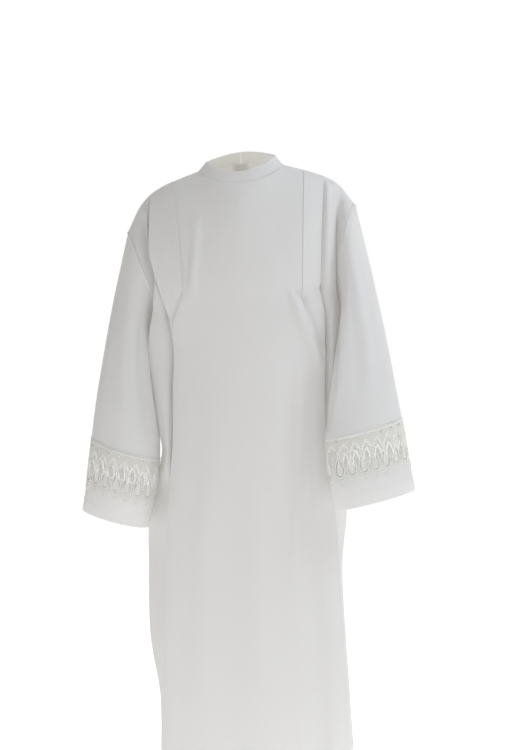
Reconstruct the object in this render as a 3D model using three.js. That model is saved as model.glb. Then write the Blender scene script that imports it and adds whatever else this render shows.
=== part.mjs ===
// An alb: the long white tunic of a priest or deacon, worn by a standing figure that is left out.
// Front and back hang from the shoulder seams, each with one tuck on either side of the chest;
// a stand-up neckband closes at the back, over a fly; each sleeve ends in a band of lace and a cuff.
// Millimetres. Origin at the middle of the neck, level with the shoulders; +Z up; the front faces
// -Y; -X is the wearer's right.
import * as THREE from "three";

// A table's rows as objects, each value under its column's name.
function table(columns, rows) {
  return rows.map((row) => Object.fromEntries(columns.map((name, i) => [name, row[i]])));
}

// ---- Driving dimensions ----
const CLOTH = 1.5; // thickness of the sewn cloth
const LACE = 1.0; // thickness of the lace
const SEAM = 0.3; // gap left between two sewn pieces
const ARMHOLE_SEAM = 0.45; // the same where a sleeve is sewn in
const UNDERARM = 290; // drop from the shoulders to the underarm
const LENGTH = 1450; // drop from the shoulders to the hem
const SHOULDER = {
  y: 8, // the seam runs a little behind the middle of the neck
  slope: 0.47, // share of its fall that is an even slope; the rest rolls over the arm
  roll: 5.5, // how late it rolls over
};
const NECK = {
  middle: -12, // the neck leans a little to the wearer's right
  half: 93,
  front: 76,
  back: 66,
  level: -2,
  frontDrop: 37,
  backRise: 14,
  dip: 1.5, // how much of the drop and rise comes near the middle
  tilt: 0.08,
};
const COLLAR = {
  rise: 25, // the neckband is cut 30 high and leans in
  lean: 17,
  bow: 0.3, // the lean is steeper at the bottom by this share
  sideDrop: 4,
  towardsY: 6, // it leans towards this depth
  parts: 16,
  inset: 0.4, // clear of the neckline, inwards and upwards
  lift: 0.2,
  backGap: 0.0015, // share of half a turn left open where the ends meet
};
const FLY = { width: 32, bottomRow: 8, lift: 0.45, topGap: 0.08 };
const ARMHOLE_CROWD = 1.3; // the armhole's points crowd towards its top
const UNDERARM_TURN = 0.9; // how far the armhole's edge turns outwards at the underarm
const LACE_LIFT = 0.35; // the lace lies just over the cloth it is sewn to
const SCALLOP = { count: 20, depth: 15 };
const SLEEVE_LENGTH = 640; // from the armhole to the edge of the cuff, along its middle

// ---- Sleeves ----
// Rings from the armhole to the edge of the cuff. Each names the four quarter points of the ring;
// down is how far along the sleeve it lies.
const RING = ["ring", "down", "outer", "front", "inner", "back"];
const SLEEVES = {
  right: table(RING, [
    ["armhole", 0, [-257, 8, -138], [-222, -70, -218], [-190, 0, -303], [-224, 78, -220]],
    ["sleeve head", 0.1, [-270, 4, -195], [-234, -75, -262], [-205, -6, -342], [-236, 70, -262]],
    ["upper arm", 0.3, [-292, -6, -300], [-246, -80, -345], [-207, -20, -405], [-250, 56, -345]],
    ["elbow", 0.5, [-311, -22, -410], [-253, -88, -445], [-200, -34, -492], [-256, 36, -445]],
    ["forearm", 0.68, [-327, -38, -515], [-257, -98, -545], [-188, -48, -576], [-260, 14, -545]],
    ["lace top", 0.8, [-336, -46, -590], [-262, -103, -616], [-187, -54, -634], [-264, 6, -612]],
    ["cuff top", 0.93, [-347, -54, -690], [-276, -108, -714], [-200, -60, -732], [-276, -4, -708]],
    ["cuff edge", 1, [-355, -58, -742], [-284, -110, -764], [-211, -63, -780], [-284, -10, -760]],
  ]),
  left: table(RING, [
    ["armhole", 0, [237, 8, -80], [206, -68, -168], [201, 0, -274], [222, 80, -178]],
    ["sleeve head", 0.1, [252, 2, -135], [215, -88, -210], [209, -24, -320], [240, 66, -212]],
    ["upper arm", 0.3, [280, -24, -262], [226, -114, -300], [200, -68, -372], [256, 28, -305]],
    ["elbow", 0.5, [307, -60, -395], [238, -140, -425], [181, -112, -470], [262, -16, -428]],
    ["forearm", 0.68, [324, -84, -490], [244, -154, -515], [172, -126, -553], [260, -48, -515]],
    ["lace top", 0.8, [334, -96, -542], [246, -162, -566], [168, -134, -582], [260, -66, -562]],
    ["cuff top", 0.93, [351, -114, -640], [262, -170, -662], [178, -142, -680], [268, -92, -656]],
    ["cuff edge", 1, [361, -124, -690], [270, -174, -713], [188, -146, -732], [276, -106, -708]],
  ]),
};
const SLEEVE_ROWS = [0, 0.05, 0.1, 0.2, 0.3, 0.4, 0.5, 0.6, 0.7, 0.8];
const SLEEVE_EVEN = 0.3; // below this the sleeve's points are evenly spaced around it
const LACE_SPAN = { from: 0.795, to: 0.94 };
const CUFF_SPAN = { from: 0.905, middle: 0.94, to: 1 };

// ---- Front and back ----
// The two sides: which way is out, and where the front's edge and its folds meet the shoulder seam
// (0 at the neck, 1 at the armhole).
const SIDES = [
  { name: "right", key: "R", out: -1, edgeTop: 0.68, recessTop: 0.71, ridgeTop: 0.8, creaseTop: 0.87 },
  { name: "left", key: "L", out: 1, edgeTop: 0.57, recessTop: 0.61, ridgeTop: 0.72, creaseTop: 0.82 },
];

// Sections of the hanging cloth. front and back: depth of the middle of each face. edge: where a
// face turns back. recess: how deep the cloth folds in behind the edge. ridge: the next fold
// outwards, and in how far it lies behind the edge. crease: the valley behind the ridge. seam: the side seam.
const SECTION = [
  "drop", "front", "back", "edgeR", "edgeL", "recess", "ridgeR", "ridgeL",
  "inR", "inL", "crease", "seamR", "seamL",
];
const BODY = table(SECTION, [
  [290, -132, 116, -172, 160, 14, -194, 198, 14, 30, 20, -190, 201],
  [335, -136, 118, -161, 169, 26, -211, 205, 24, 44, 20, -187, 201],
  [385, -138, 120, -154, 171, 40, -214, 207, 34, 56, 20, -184, 202],
  [480, -140, 122, -156, 170, 56, -206, 207, 48, 64, 16, -180, 204],
  [560, -142, 124, -156, 171, 56, -196, 207, 56, 66, 12, -175, 204],
  [620, -143, 127, -158, 177, 46, -185, 211, 62, 68, 8, -170, 206],
  [745, -145, 131, -169, 193, 36, -214, 224, 80, 80, 8, -202, 216],
  [870, -146, 136, -174, 203, 40, -217, 214, 80, 80, 8, -205, 206],
  [1030, -147, 144, -178, 214, 46, -214, 222, 78, 78, 8, -201, 212],
  [1180, -148, 152, -178, 223, 48, -191, 233, 76, 76, 8, -178, 224],
  [LENGTH, -152, 166, -187, 237, 50, -196, 252, 74, 74, 8, -184, 242],
]);
const SET_BACK = { front: 44, back: 40 }; // how far a face's edge lies behind its middle
const TILT = { slope: 0.1, fadeFrom: 290, fadeTo: 640 }; // the chest hangs a little higher on the left
const NECK_END = 0.52; // share across at which the neckline meets the shoulder seam
const FACE_BEND = 2.6; // how late the broad face bends back towards its edge
const EDGE_BEND = { from: 0.9, near: 0.97 }; // shares across where it curves into that edge

// How the side folds lie: the back's are shallower; the recess and crease slant inwards under their
// folds; the last point before the seam lies this share across and inwards.
const FOLD = { backDepth: 0.7, recessSlant: 0.12, creaseSlant: 0.6, armAcross: 0.75, armIn: 0.55 };

// From the shoulder to the underarm: how roundly each line falls (1 is a quarter ellipse), the share
// over which the folds come in, and how full the side folds stand between their ends.
const FALL = { neck: 1.3, neckUntil: 0.39, fold: 0.95, settle: 0.25 };
const FULLNESS = { recess: 34, ridge: 8, arm: 10, armTowardsSeam: 0.6 };

// The sewn tucks: a step in the cloth at this share across, open below their lower end.
const TUCK = { at: 0.76, wide: 0.02, step: 4, flatFrom: 0.85, openFrom: 235, openTo: 330 };

// Soft folds of the broad faces: where they run, how wide and deep, between which drops, and how
// far they drift across.
const FLUTES = table(["face", "at", "wide", "deep", "from", "to", "drift"], [
  ["front", 0.62, 0.16, 7, 330, 1500, 0.02],
  ["front", 0.3, 0.2, 5, 600, 1600, 0.05],
  ["front", -0.25, 0.22, 6, 560, 1600, -0.04],
  ["front", -0.68, 0.14, 6, 340, 1400, -0.03],
  ["back", 0.55, 0.16, 14, 240, 1700, 0.05],
  ["back", 0.12, 0.16, 11, 560, 1700, 0.02],
  ["back", -0.3, 0.18, 13, 300, 1700, -0.03],
  ["back", -0.72, 0.14, 12, 260, 1700, -0.04],
]);
const FLUTE = { opening: 260, closing: 400, driftOver: 500 }; // lengths over which they do so

// How finely the faceted walls follow the shape: rows down the cloth (1 is the underarm), and
// columns across it (1 is the edge of a face, 2 the seam).
const ROWS = [0, 0.1, 0.2, 0.3, 0.4, 0.5, 0.6, 0.7, 0.8, 0.9, 1];
const DROPS = [335, 385, 480, 560, 620, 745, 870, 1030, 1180, LENGTH];
const COLUMNS = [
  0, 0.13, 0.26, 0.39, NECK_END, 0.64, 0.745, 0.775, 0.88, 0.99,
  1.175, 1.27, 1.36, 1.45, 1.54, 1.73, 1.9, 2,
];

// Front, back and sleeves are each one cut of cloth, and bend far. They are made in parts that bend
// little, a seam's gap apart: the rows and columns of the cloth's grid that each part runs between.
const PART = ["name", "top", "bottom", "first", "last"];
const UNDERARM_ROW = ROWS.length - 1;
const HEM_ROW = UNDERARM_ROW + DROPS.length;
const MIDDLE = COLUMNS.length - 1;
const EDGE = 9; // columns from the middle of a face to its edge
const PANEL_PARTS = table(PART, [
  ["side_right", 0, UNDERARM_ROW, 0, MIDDLE - EDGE],
  ["upper_right", 0, UNDERARM_ROW, MIDDLE - EDGE, MIDDLE],
  ["upper_left", 0, UNDERARM_ROW, MIDDLE, MIDDLE + EDGE],
  ["side_left", 0, UNDERARM_ROW, MIDDLE + EDGE, 2 * MIDDLE],
  ["lower", UNDERARM_ROW, HEM_ROW, 0, 2 * MIDDLE],
]);
const HALF_ROUND = ROWS.length - 1; // columns half way round a sleeve
const ARM_ROW = 4; // where a sleeve's upper parts meet its lower ones
const SLEEVE_END = SLEEVE_ROWS.length - 1;
const SLEEVE_PARTS = table(PART, [
  ["upper_front", 0, ARM_ROW, 0, HALF_ROUND],
  ["upper_back", 0, ARM_ROW, HALF_ROUND, 2 * HALF_ROUND],
  ["lower_front", ARM_ROW, SLEEVE_END, 0, HALF_ROUND],
  ["lower_back", ARM_ROW, SLEEVE_END, HALF_ROUND, 2 * HALF_ROUND],
]);

// ---- Small helpers ----
const mix = (a, b, t) => a + (b - a) * t;
const clamp = (t, low, high) => Math.min(high, Math.max(low, t));
const smooth = (t) => {
  const c = clamp(t, 0, 1);
  return c * c * (3 - 2 * c);
};
const vector = (p) => new THREE.Vector3(...p);

// A smooth curve through the rows of a table: the value that pick finds in each row, read at any key.
function reading(rows, key, pick, at) {
  let i = 0;
  while (i < rows.length - 2 && at > rows[i + 1][key]) i += 1;
  const [a, b] = [rows[i], rows[i + 1]];
  const [before, after] = [rows[Math.max(i - 1, 0)], rows[Math.min(i + 2, rows.length - 1)]];
  const span = b[key] - a[key];
  const startSlope = (pick(b) - pick(before)) / (b[key] - before[key]);
  const endSlope = (pick(after) - pick(a)) / (after[key] - a[key]);
  const t = clamp((at - a[key]) / span, 0, 1);
  const [t2, t3] = [t * t, t * t * t];
  return (
    (2 * t3 - 3 * t2 + 1) * pick(a) +
    (t3 - 2 * t2 + t) * span * startSlope +
    (3 * t2 - 2 * t3) * pick(b) +
    (t3 - t2) * span * endSlope
  );
}

// A smooth curve from the first control point to the last, pulled towards those between.
function pulled(controls, t) {
  const spans = controls.length - 2;
  const at = clamp(t, 0, 1) * spans;
  const i = Math.min(Math.floor(at), spans - 1);
  const f = at - i;
  const first = i === 0 ? controls[0] : controls[i].clone().lerp(controls[i + 1], 0.5);
  const last = i === spans - 1 ? controls[i + 2] : controls[i + 1].clone().lerp(controls[i + 2], 0.5);
  return first
    .clone()
    .multiplyScalar((1 - f) ** 2)
    .addScaledVector(controls[i + 1], 2 * f * (1 - f))
    .addScaledVector(last, f * f);
}

// ---- Rings of the sleeves ----
// A ring's point at an angle: 0 at its outer quarter point, pi at the inner one, front half first.
function ringPoint(rows, down, angle) {
  const quarter = (name) =>
    new THREE.Vector3(...[0, 1, 2].map((axis) => reading(rows, "down", (row) => row[name][axis], down)));
  const [outer, inner] = [quarter("outer"), quarter("inner")];
  const middle = outer.clone().lerp(inner, 0.5);
  const bulge = quarter(Math.sin(angle) >= 0 ? "front" : "back").sub(middle);
  return middle
    .clone()
    .addScaledVector(outer.sub(middle), Math.cos(angle))
    .addScaledVector(bulge, Math.abs(Math.sin(angle)));
}

// The armhole is the sleeve's first ring; a share of 0 is its top and 1 the underarm.
const armholeAngle = (share) => Math.PI * share ** ARMHOLE_CROWD;
function armhole(side, face, share) {
  const angle = armholeAngle(share);
  return ringPoint(SLEEVES[side.name], 0, face === "front" ? angle : 2 * Math.PI - angle);
}

// The way the cloth faces along the armhole seam: away from the ring's middle.
function armholeFacing(side, face, share) {
  const rings = SLEEVES[side.name][0];
  const middle = vector(rings.outer).lerp(vector(rings.inner), 0.5);
  const away = armhole(side, face, share).sub(middle).normalize();
  away.x += side.out * UNDERARM_TURN * share;
  return away.normalize();
}

// ---- Neck and shoulders ----
const neckX = (side) => NECK.middle + side.out * NECK.half;
const neckZ = (x) => NECK.level + NECK.tilt * (x - NECK.middle);

// The neckline at an angle from the front middle; a quarter turn is the wearer's left.
function neckline(angle) {
  const ahead = Math.cos(angle);
  const x = NECK.middle + NECK.half * Math.sin(angle);
  const reach = ahead > 0 ? NECK.front + SHOULDER.y : NECK.back - SHOULDER.y;
  const rise = ahead > 0 ? -NECK.frontDrop : NECK.backRise;
  const z = neckZ(x) + rise * Math.abs(ahead) ** NECK.dip;
  return new THREE.Vector3(x, SHOULDER.y - reach * ahead, z);
}

// The shoulder seam from the neck (0) to the top of the armhole (1): it slopes, then rolls over.
function shoulder(side, share) {
  const [endX, , endZ] = SLEEVES[side.name][0].outer;
  const x = mix(neckX(side), endX, share);
  const fall = SHOULDER.slope * share + (1 - SHOULDER.slope) * share ** SHOULDER.roll;
  return new THREE.Vector3(x, SHOULDER.y, mix(neckZ(neckX(side)), endZ, fall));
}

// ---- Front and back ----
// The named points across half a section at or below the underarm.
function stations(side, face, drop) {
  const sign = face === "front" ? 1 : -1;
  const soft = face === "front" ? 1 : FOLD.backDepth;
  const read = (column) => reading(BODY, "drop", (row) => row[column], drop);
  const [edgeX, ridgeX, seamX] = ["edge", "ridge", "seam"].map((name) => read(name + side.key));
  const [recess, ridgeIn, crease] = ["recess", "in" + side.key, "crease"].map((name) => read(name) * soft);
  const edgeY = read(face) + sign * SET_BACK[face];
  const ridgeY = edgeY + sign * ridgeIn;
  const lean = TILT.slope * (1 - smooth((drop - TILT.fadeFrom) / (TILT.fadeTo - TILT.fadeFrom)));
  const point = (x, y) => new THREE.Vector3(x, y, -drop + lean * (x - NECK.middle));
  return {
    middle: point((read("edgeR") + read("edgeL")) / 2, read(face)),
    edge: point(edgeX, edgeY),
    recess: point(edgeX - side.out * FOLD.recessSlant * recess, edgeY + sign * recess),
    ridge: point(ridgeX, ridgeY),
    crease: point(ridgeX - side.out * FOLD.creaseSlant * crease, ridgeY + sign * crease),
    arm: point(mix(ridgeX, seamX, FOLD.armAcross), mix(ridgeY + sign * crease, 0, FOLD.armIn)),
    seam: point(seamX, 0),
  };
}

// A point of the broad face between the middle (0) and the edge (1) of a section.
function facePoint(at, share) {
  const p = at.middle.clone().lerp(at.edge, share);
  p.y = mix(at.middle.y, at.edge.y, share ** FACE_BEND);
  return p;
}

// How far the broad face is moved inwards by its soft folds, and outwards beyond its tuck.
function relief(face, position, drop) {
  let depth = 0;
  for (const f of FLUTES) {
    if (f.face !== face) continue;
    const opened = smooth((drop - f.from) / FLUTE.opening);
    const closed = smooth((drop - f.to) / FLUTE.closing + 0.5);
    const off = (position - f.at - (f.drift * (drop - f.from)) / FLUTE.driftOver) / f.wide;
    depth += f.deep * opened * (1 - closed) * Math.exp(-off * off);
  }
  const open = 1 - smooth((drop - TUCK.openFrom) / (TUCK.openTo - TUCK.openFrom));
  const beyond = smooth((Math.abs(position) - TUCK.at) / TUCK.wide + 0.5);
  const fading = smooth((Math.abs(position) - TUCK.flatFrom) / (1 - TUCK.flatFrom));
  return depth - TUCK.step * open * beyond * (1 - fading);
}

// The upper part hangs over the shoulders: each line runs from its place on the seam or neckline
// to its place at the underarm, forward first and then down.
function hanging(top, low, share, roundness) {
  const angle = (share * Math.PI) / 2;
  return new THREE.Vector3(
    mix(top.x, low.x, smooth(share)),
    mix(top.y, low.y, Math.sin(angle) ** roundness),
    mix(top.z, low.z, 1 - Math.cos(angle) ** roundness),
  );
}

function topOfFace(side, face, across) {
  if (across < NECK_END) {
    const turn = (across / NECK_END) * (Math.PI / 2);
    return neckline(face === "front" ? side.out * turn : Math.PI - side.out * turn);
  }
  return shoulder(side, ((across - NECK_END) / (1 - NECK_END)) * side.edgeTop);
}

// A point of the cloth: across is 0 at the middle, 1 at the edge of the face and 2 at the seam;
// row is 0 at the top and 1 at the underarm, then 1 plus the share of the way to the hem.
function clothPoint(side, face, across, row) {
  const sign = face === "front" ? 1 : -1;
  const share = Math.min(row, 1);
  const drop = mix(UNDERARM, LENGTH, Math.max(row - 1, 0));
  const at = stations(side, face, drop);
  const line = (top, low, roundness = 1) => (row < 1 ? hanging(top, low, share, roundness) : low);
  const facing = (position) => {
    const beyondNeck = (position - FALL.neckUntil) / (NECK_END - FALL.neckUntil);
    const roundness = mix(FALL.neck, 1, smooth(beyondNeck));
    const p = line(topOfFace(side, face, position), facePoint(at, position), roundness);
    const fallen = row < 1 ? Math.max(-p.z, 0) : drop;
    p.y += sign * relief(face, side.out * position, fallen) * smooth(share / FALL.settle);
    return p;
  };
  if (across <= EDGE_BEND.from) return facing(across);
  const edge = line(shoulder(side, side.edgeTop), at.edge);
  const recess = line(shoulder(side, side.recessTop), at.recess);
  const ridge = line(shoulder(side, side.ridgeTop), at.ridge, FALL.fold);
  const crease = line(shoulder(side, side.creaseTop), at.crease, FALL.fold);
  const seam = row < 1 ? armhole(side, face, share) : at.seam;
  const arm = row < 1 ? crease.clone().lerp(seam, FULLNESS.armTowardsSeam) : at.arm;
  if (row < 1) {
    const full = Math.sin(Math.PI * share) * (1 - share);
    recess.y += sign * FULLNESS.recess * full;
    ridge.y += sign * FULLNESS.ridge * full;
    arm.y -= sign * FULLNESS.arm * full;
  }
  const controls = [facing(EDGE_BEND.from), facing(EDGE_BEND.near), edge, recess, ridge, crease, arm, seam];
  return pulled(controls, (across - EDGE_BEND.from) / (2 - EDGE_BEND.from));
}

// ---- Turning grids of points into cloth walls ----
// The way a grid faces at each point, from the rows and columns beside it.
function facings(grid, closed, turned) {
  const [rows, columns] = [grid.length, grid[0].length];
  const beside = (j) => (closed ? (j + columns) % columns : clamp(j, 0, columns - 1));
  return grid.map((row, i) =>
    row.map((_, j) => {
      const across = row[beside(j + 1)].clone().sub(row[beside(j - 1)]);
      const along = grid[Math.min(i + 1, rows - 1)][j].clone().sub(grid[Math.max(i - 1, 0)][j]);
      return across.cross(along).normalize().multiplyScalar(turned ? -1 : 1);
    }),
  );
}

// One part of a cloth. An edge inside the cloth is drawn back by half a seam's gap; on a cloth that
// goes round, so are its first and last columns.
function partOf(cloth, { top, bottom, first, last }, round) {
  const cut = (rows) =>
    rows.slice(top, bottom + 1).map((row) => row.slice(first, last + 1).map((p) => p.clone()));
  const grid = cut(cloth.grid);
  const drawBack = (p, i, j) => {
    p.addScaledVector(cloth.grid[i][j].clone().sub(p).normalize(), SEAM / 2);
  };
  const [rows, columns] = [cloth.grid.length, cloth.grid[0].length];
  if (top > 0) grid[0].forEach((p, j) => drawBack(p, top + 1, first + j));
  if (bottom < rows - 1) grid[bottom - top].forEach((p, j) => drawBack(p, bottom - 1, first + j));
  grid.forEach((row, i) => {
    if (round || first > 0) drawBack(row[0], top + i, first + 1);
    if (round || last < columns - 1) drawBack(row[last - first], top + i, last - 1);
  });
  return { grid, facing: cut(cloth.facing) };
}

// A wall between two grids, closed all round: from outside, and from inside, past the outer one.
function wall(grid, facing, outside, inside, closed) {
  const [rows, columns] = [grid.length, grid[0].length];
  const positions = [];
  for (const lift of [outside, inside])
    grid.forEach((row, i) =>
      row.forEach((p, j) => positions.push(...p.clone().addScaledVector(facing[i][j], lift).toArray())),
    );
  const outer = (i, j) => i * columns + (j % columns);
  const inner = (i, j) => rows * columns + outer(i, j);
  const index = [];
  const quad = (a, b, c, d) => index.push(a, b, c, a, c, d);
  const corner = (k) => new THREE.Vector3().fromArray(positions, 3 * k);
  const spans = closed ? columns : columns - 1;
  for (let j = 0; j < spans; j += 1) {
    for (let i = 0; i < rows - 1; i += 1) {
      // Each facet is split along its shorter diagonal, the same way on both faces.
      const [a, b, c, d] = [outer(i, j), outer(i + 1, j), outer(i + 1, j + 1), outer(i, j + 1)];
      const under = rows * columns;
      if (corner(a).distanceTo(corner(c)) < corner(b).distanceTo(corner(d))) {
        quad(a, b, c, d);
        index.push(under + a, under + c, under + b, under + a, under + d, under + c);
      } else {
        quad(b, c, d, a);
        index.push(under + b, under + d, under + c, under + b, under + a, under + d);
      }
    }
    quad(outer(0, j), outer(0, j + 1), inner(0, j + 1), inner(0, j));
    quad(outer(rows - 1, j), inner(rows - 1, j), inner(rows - 1, j + 1), outer(rows - 1, j + 1));
  }
  for (let i = 0; !closed && i < rows - 1; i += 1) {
    const last = columns - 1;
    quad(outer(i, 0), inner(i, 0), inner(i + 1, 0), outer(i + 1, 0));
    quad(outer(i, last), outer(i + 1, last), inner(i + 1, last), inner(i, last));
  }
  let volume = 0;
  for (let k = 0; k < index.length; k += 3)
    volume += corner(index[k]).dot(corner(index[k + 1]).cross(corner(index[k + 2])));
  if (volume < 0) index.reverse();
  const geometry = new THREE.BufferGeometry();
  geometry.setAttribute("position", new THREE.Float32BufferAttribute(positions, 3));
  geometry.setIndex(index);
  geometry.computeVertexNormals();
  return geometry;
}

// ---- The alb ----
const linen = new THREE.MeshStandardMaterial({ color: 0xeceae4, roughness: 0.85, metalness: 0 });
const thread = new THREE.MeshStandardMaterial({ color: 0xf1eee2, roughness: 0.7, metalness: 0 });
const alb = new THREE.Group();

function add(name, geometry, material) {
  const mesh = new THREE.Mesh(geometry, material);
  mesh.name = name;
  alb.add(mesh);
}

const levels = [...ROWS, ...DROPS.map((drop) => 1 + (drop - UNDERARM) / (LENGTH - UNDERARM))];

// Front and back, each from the right seam across the middle to the left seam.
const panels = {};
for (const face of ["front", "back"]) {
  const sign = face === "front" ? 1 : -1;
  const grid = levels.map((row) => [
    ...[...COLUMNS].reverse().map((a) => clothPoint(SIDES[0], face, a, row)),
    ...COLUMNS.slice(1).map((a) => clothPoint(SIDES[1], face, a, row)),
  ]);
  const facing = facings(grid, false, face === "front");
  const last = grid[0].length - 1;
  levels.forEach((row, i) => {
    for (const [j, side] of [[0, SIDES[0]], [last, SIDES[1]]]) {
      if (row > 1) facing[i][j].set(side.out, 0, 0);
      else facing[i][j].copy(armholeFacing(side, face, row));
      if (row < 1 && i > 0) continue;
      grid[i][j].y -= (sign * SEAM) / 2;
      facing[i][j].setComponent(1, 0).normalize();
    }
  });
  grid[0].forEach((p, j) => {
    if (Math.abs(p.x - NECK.middle) < NECK.half - SEAM) return;
    facing[0][j].setComponent(1, 0).normalize();
    if (j > 0 && j < last) p.y -= (sign * SEAM) / 2;
  });
  panels[face] = { grid, facing };
  for (const row of PANEL_PARTS) {
    const part = partOf(panels[face], row, false);
    add(`${face}_${row.name}`, wall(part.grid, part.facing, 0, -CLOTH, false), linen);
  }
}

// Sleeves, lace and cuffs: bands of one tube from the armhole to the hand.
const shares = ROWS.slice(0, -1);
const around = [
  ...shares.map(armholeAngle),
  ...[...ROWS].reverse().slice(0, -1).map((share) => 2 * Math.PI - armholeAngle(share)),
];

function band(side, downs, columns, edge = () => 0) {
  const rings = SLEEVES[side.name];
  const last = downs.length - 1;
  const grid = downs.map((down, i) =>
    Array.from({ length: columns }, (_, j) => {
      const even = (2 * Math.PI * j) / columns;
      const angle = columns === around.length ? mix(around[j], even, smooth(down / SLEEVE_EVEN)) : even;
      return ringPoint(rings, down - (i === last ? edge(even) : 0), angle);
    }),
  );
  return { grid, facing: facings(grid, true, side.out < 0) };
}

for (const side of SIDES) {
  const sleeve = band(side, SLEEVE_ROWS, around.length);
  // The first ring keeps the seam's gap to the body and faces the same way as its edge.
  sleeve.grid[0].forEach((p, j) => {
    const share = j < ROWS.length ? ROWS[j] : ROWS[2 * (ROWS.length - 1) - j];
    const next = sleeve.grid[1][j];
    sleeve.facing[0][j] = armholeFacing(side, j < ROWS.length ? "front" : "back", share);
    p.addScaledVector(next.clone().sub(p).normalize(), ARMHOLE_SEAM);
  });
  const opened = (rows) => rows.map((row) => [...row, row[0]]);
  const unrolled = { grid: opened(sleeve.grid), facing: opened(sleeve.facing) };
  for (const row of SLEEVE_PARTS) {
    const part = partOf(unrolled, row, true);
    add(`sleeve_${side.name}_${row.name}`, wall(part.grid, part.facing, 0, -CLOTH, false), linen);
  }

  const tips = (angle) => (SCALLOP.depth / SLEEVE_LENGTH) * (0.5 + 0.5 * Math.cos(SCALLOP.count * angle));
  const laceBand = band(side, [LACE_SPAN.from, LACE_SPAN.to], 2 * SCALLOP.count, tips);
  add("lace_" + side.name, wall(laceBand.grid, laceBand.facing, LACE_LIFT + LACE, LACE_LIFT, true), thread);

  const cuff = band(side, [CUFF_SPAN.from, CUFF_SPAN.middle, CUFF_SPAN.to], around.length);
  add("cuff_" + side.name, wall(cuff.grid, cuff.facing, 0, -CLOTH, true), linen);
}

// The neckband stands on the neckline, leaning inwards, and meets itself at the back.
const collarTurns = Array.from({ length: COLLAR.parts + 1 }, (_, i) => {
  const short = i % COLLAR.parts ? 1 : 1 - COLLAR.backGap;
  return Math.PI * ((2 * i) / COLLAR.parts - 1) * short;
});
const collarGrid = [0, 0.5, 1].map((up) =>
  collarTurns.map((angle) => {
    const p = neckline(angle);
    const inward = new THREE.Vector3(NECK.middle - p.x, COLLAR.towardsY - p.y, 0).normalize();
    const lean = COLLAR.lean * up * (1 + COLLAR.bow * (1 - up));
    p.addScaledVector(inward, COLLAR.inset + lean);
    p.z += COLLAR.lift + (COLLAR.rise - COLLAR.sideDrop * Math.sin(angle) ** 2) * up;
    return p;
  }),
);
const collarFacing = collarGrid.map((row) =>
  row.map((_, j) => {
    const base = collarGrid[0][j];
    return new THREE.Vector3(base.x - NECK.middle, base.y - COLLAR.towardsY, 0).normalize();
  }),
);
add("collar", wall(collarGrid, collarFacing, 0, -CLOTH, false), linen);

// The fly lies on the middle of the back below the neckband.
const flyRows = panels.back.grid.slice(0, FLY.bottomRow + 1);
const onBack = (i, offset) => {
  const [row, facing] = [panels.back.grid[i], panels.back.facing[i]];
  const beside = MIDDLE + (offset < 0 ? -1 : 1);
  const centre = row[MIDDLE];
  const share = Math.abs(offset) / centre.distanceTo(row[beside]);
  return {
    point: centre.clone().lerp(row[beside], share),
    facing: facing[MIDDLE].clone().lerp(facing[beside], share).normalize(),
  };
};
const flyGrid = flyRows.map((_, i) => [-0.5, 0, 0.5].map((part) => onBack(i, part * FLY.width)));
flyGrid[0].forEach((spot, j) => {
  spot.point = spot.point.clone().lerp(flyGrid[1][j].point, FLY.topGap);
});
add(
  "fly",
  wall(
    flyGrid.map((row) => row.map((spot) => spot.point)),
    flyGrid.map((row) => row.map((spot) => spot.facing)),
    FLY.lift + CLOTH,
    FLY.lift,
    false,
  ),
  linen,
);

export default alb;
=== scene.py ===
"""A white alb with lace cuffs, as its cloth hangs when worn, built over the plain frame.

Shapes are worked out in millimetres and put into the meshes in metres. The frame's axes hold:
+Z up, the front faces -Y, and -X is the wearer's right.
"""

import math

import bpy
import numpy as np
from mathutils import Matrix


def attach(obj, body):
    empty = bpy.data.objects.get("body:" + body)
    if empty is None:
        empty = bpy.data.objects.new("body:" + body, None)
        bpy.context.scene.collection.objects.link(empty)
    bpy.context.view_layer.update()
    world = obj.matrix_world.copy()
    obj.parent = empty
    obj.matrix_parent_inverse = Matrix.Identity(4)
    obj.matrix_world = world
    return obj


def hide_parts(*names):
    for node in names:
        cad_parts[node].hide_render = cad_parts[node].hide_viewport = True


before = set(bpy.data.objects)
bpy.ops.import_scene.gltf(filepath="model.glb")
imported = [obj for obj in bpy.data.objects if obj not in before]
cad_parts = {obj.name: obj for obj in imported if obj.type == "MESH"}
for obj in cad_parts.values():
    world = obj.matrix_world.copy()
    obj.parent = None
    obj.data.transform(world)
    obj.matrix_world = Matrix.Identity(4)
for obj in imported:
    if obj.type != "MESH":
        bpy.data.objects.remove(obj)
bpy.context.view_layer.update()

MM = 0.001


def named(columns, row):
    """One row of a table under its columns' names."""
    return dict(zip(columns, row))


def table(columns, rows):
    """A table's columns as arrays under their names."""
    return {name: np.array([row[i] for row in rows], float) for i, name in enumerate(columns)}


# ---- Sizes of the cut, the same as the frame's ----
UNDERARM = 290  # drop from the shoulders to the underarm
LENGTH = 1450  # drop from the shoulders to the hem
SHOULDER = {"y": 8, "slope": 0.47, "roll": 5.5}  # roll: how late the seam turns down at the armhole
NECK = {
    "middle": -12, "half": 93, "front": 76, "back": 66, "level": -2,
    "front_drop": 37, "back_rise": 14, "dip": 1.5, "tilt": 0.08,
}
# The neckband: how high it stands, how far it leans in, and how it sits on the neckline.
COLLAR = {"rise": 25, "lean": 17, "bow": 0.3, "side_drop": 4, "towards_y": 6, "inset": 0.4, "lift": 0.2}
ARMHOLE_CROWD = 1.3  # how much closer the points of the armhole lie at its top
NECK_END = 0.52  # share across the broad face where the neckline meets the shoulder seam
FACE_BEND = 2.6  # how late across the broad face bends back
EDGE_BEND = {"from": 0.9, "near": 0.97}  # shares across where its bend to the edge begins and is felt
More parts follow.
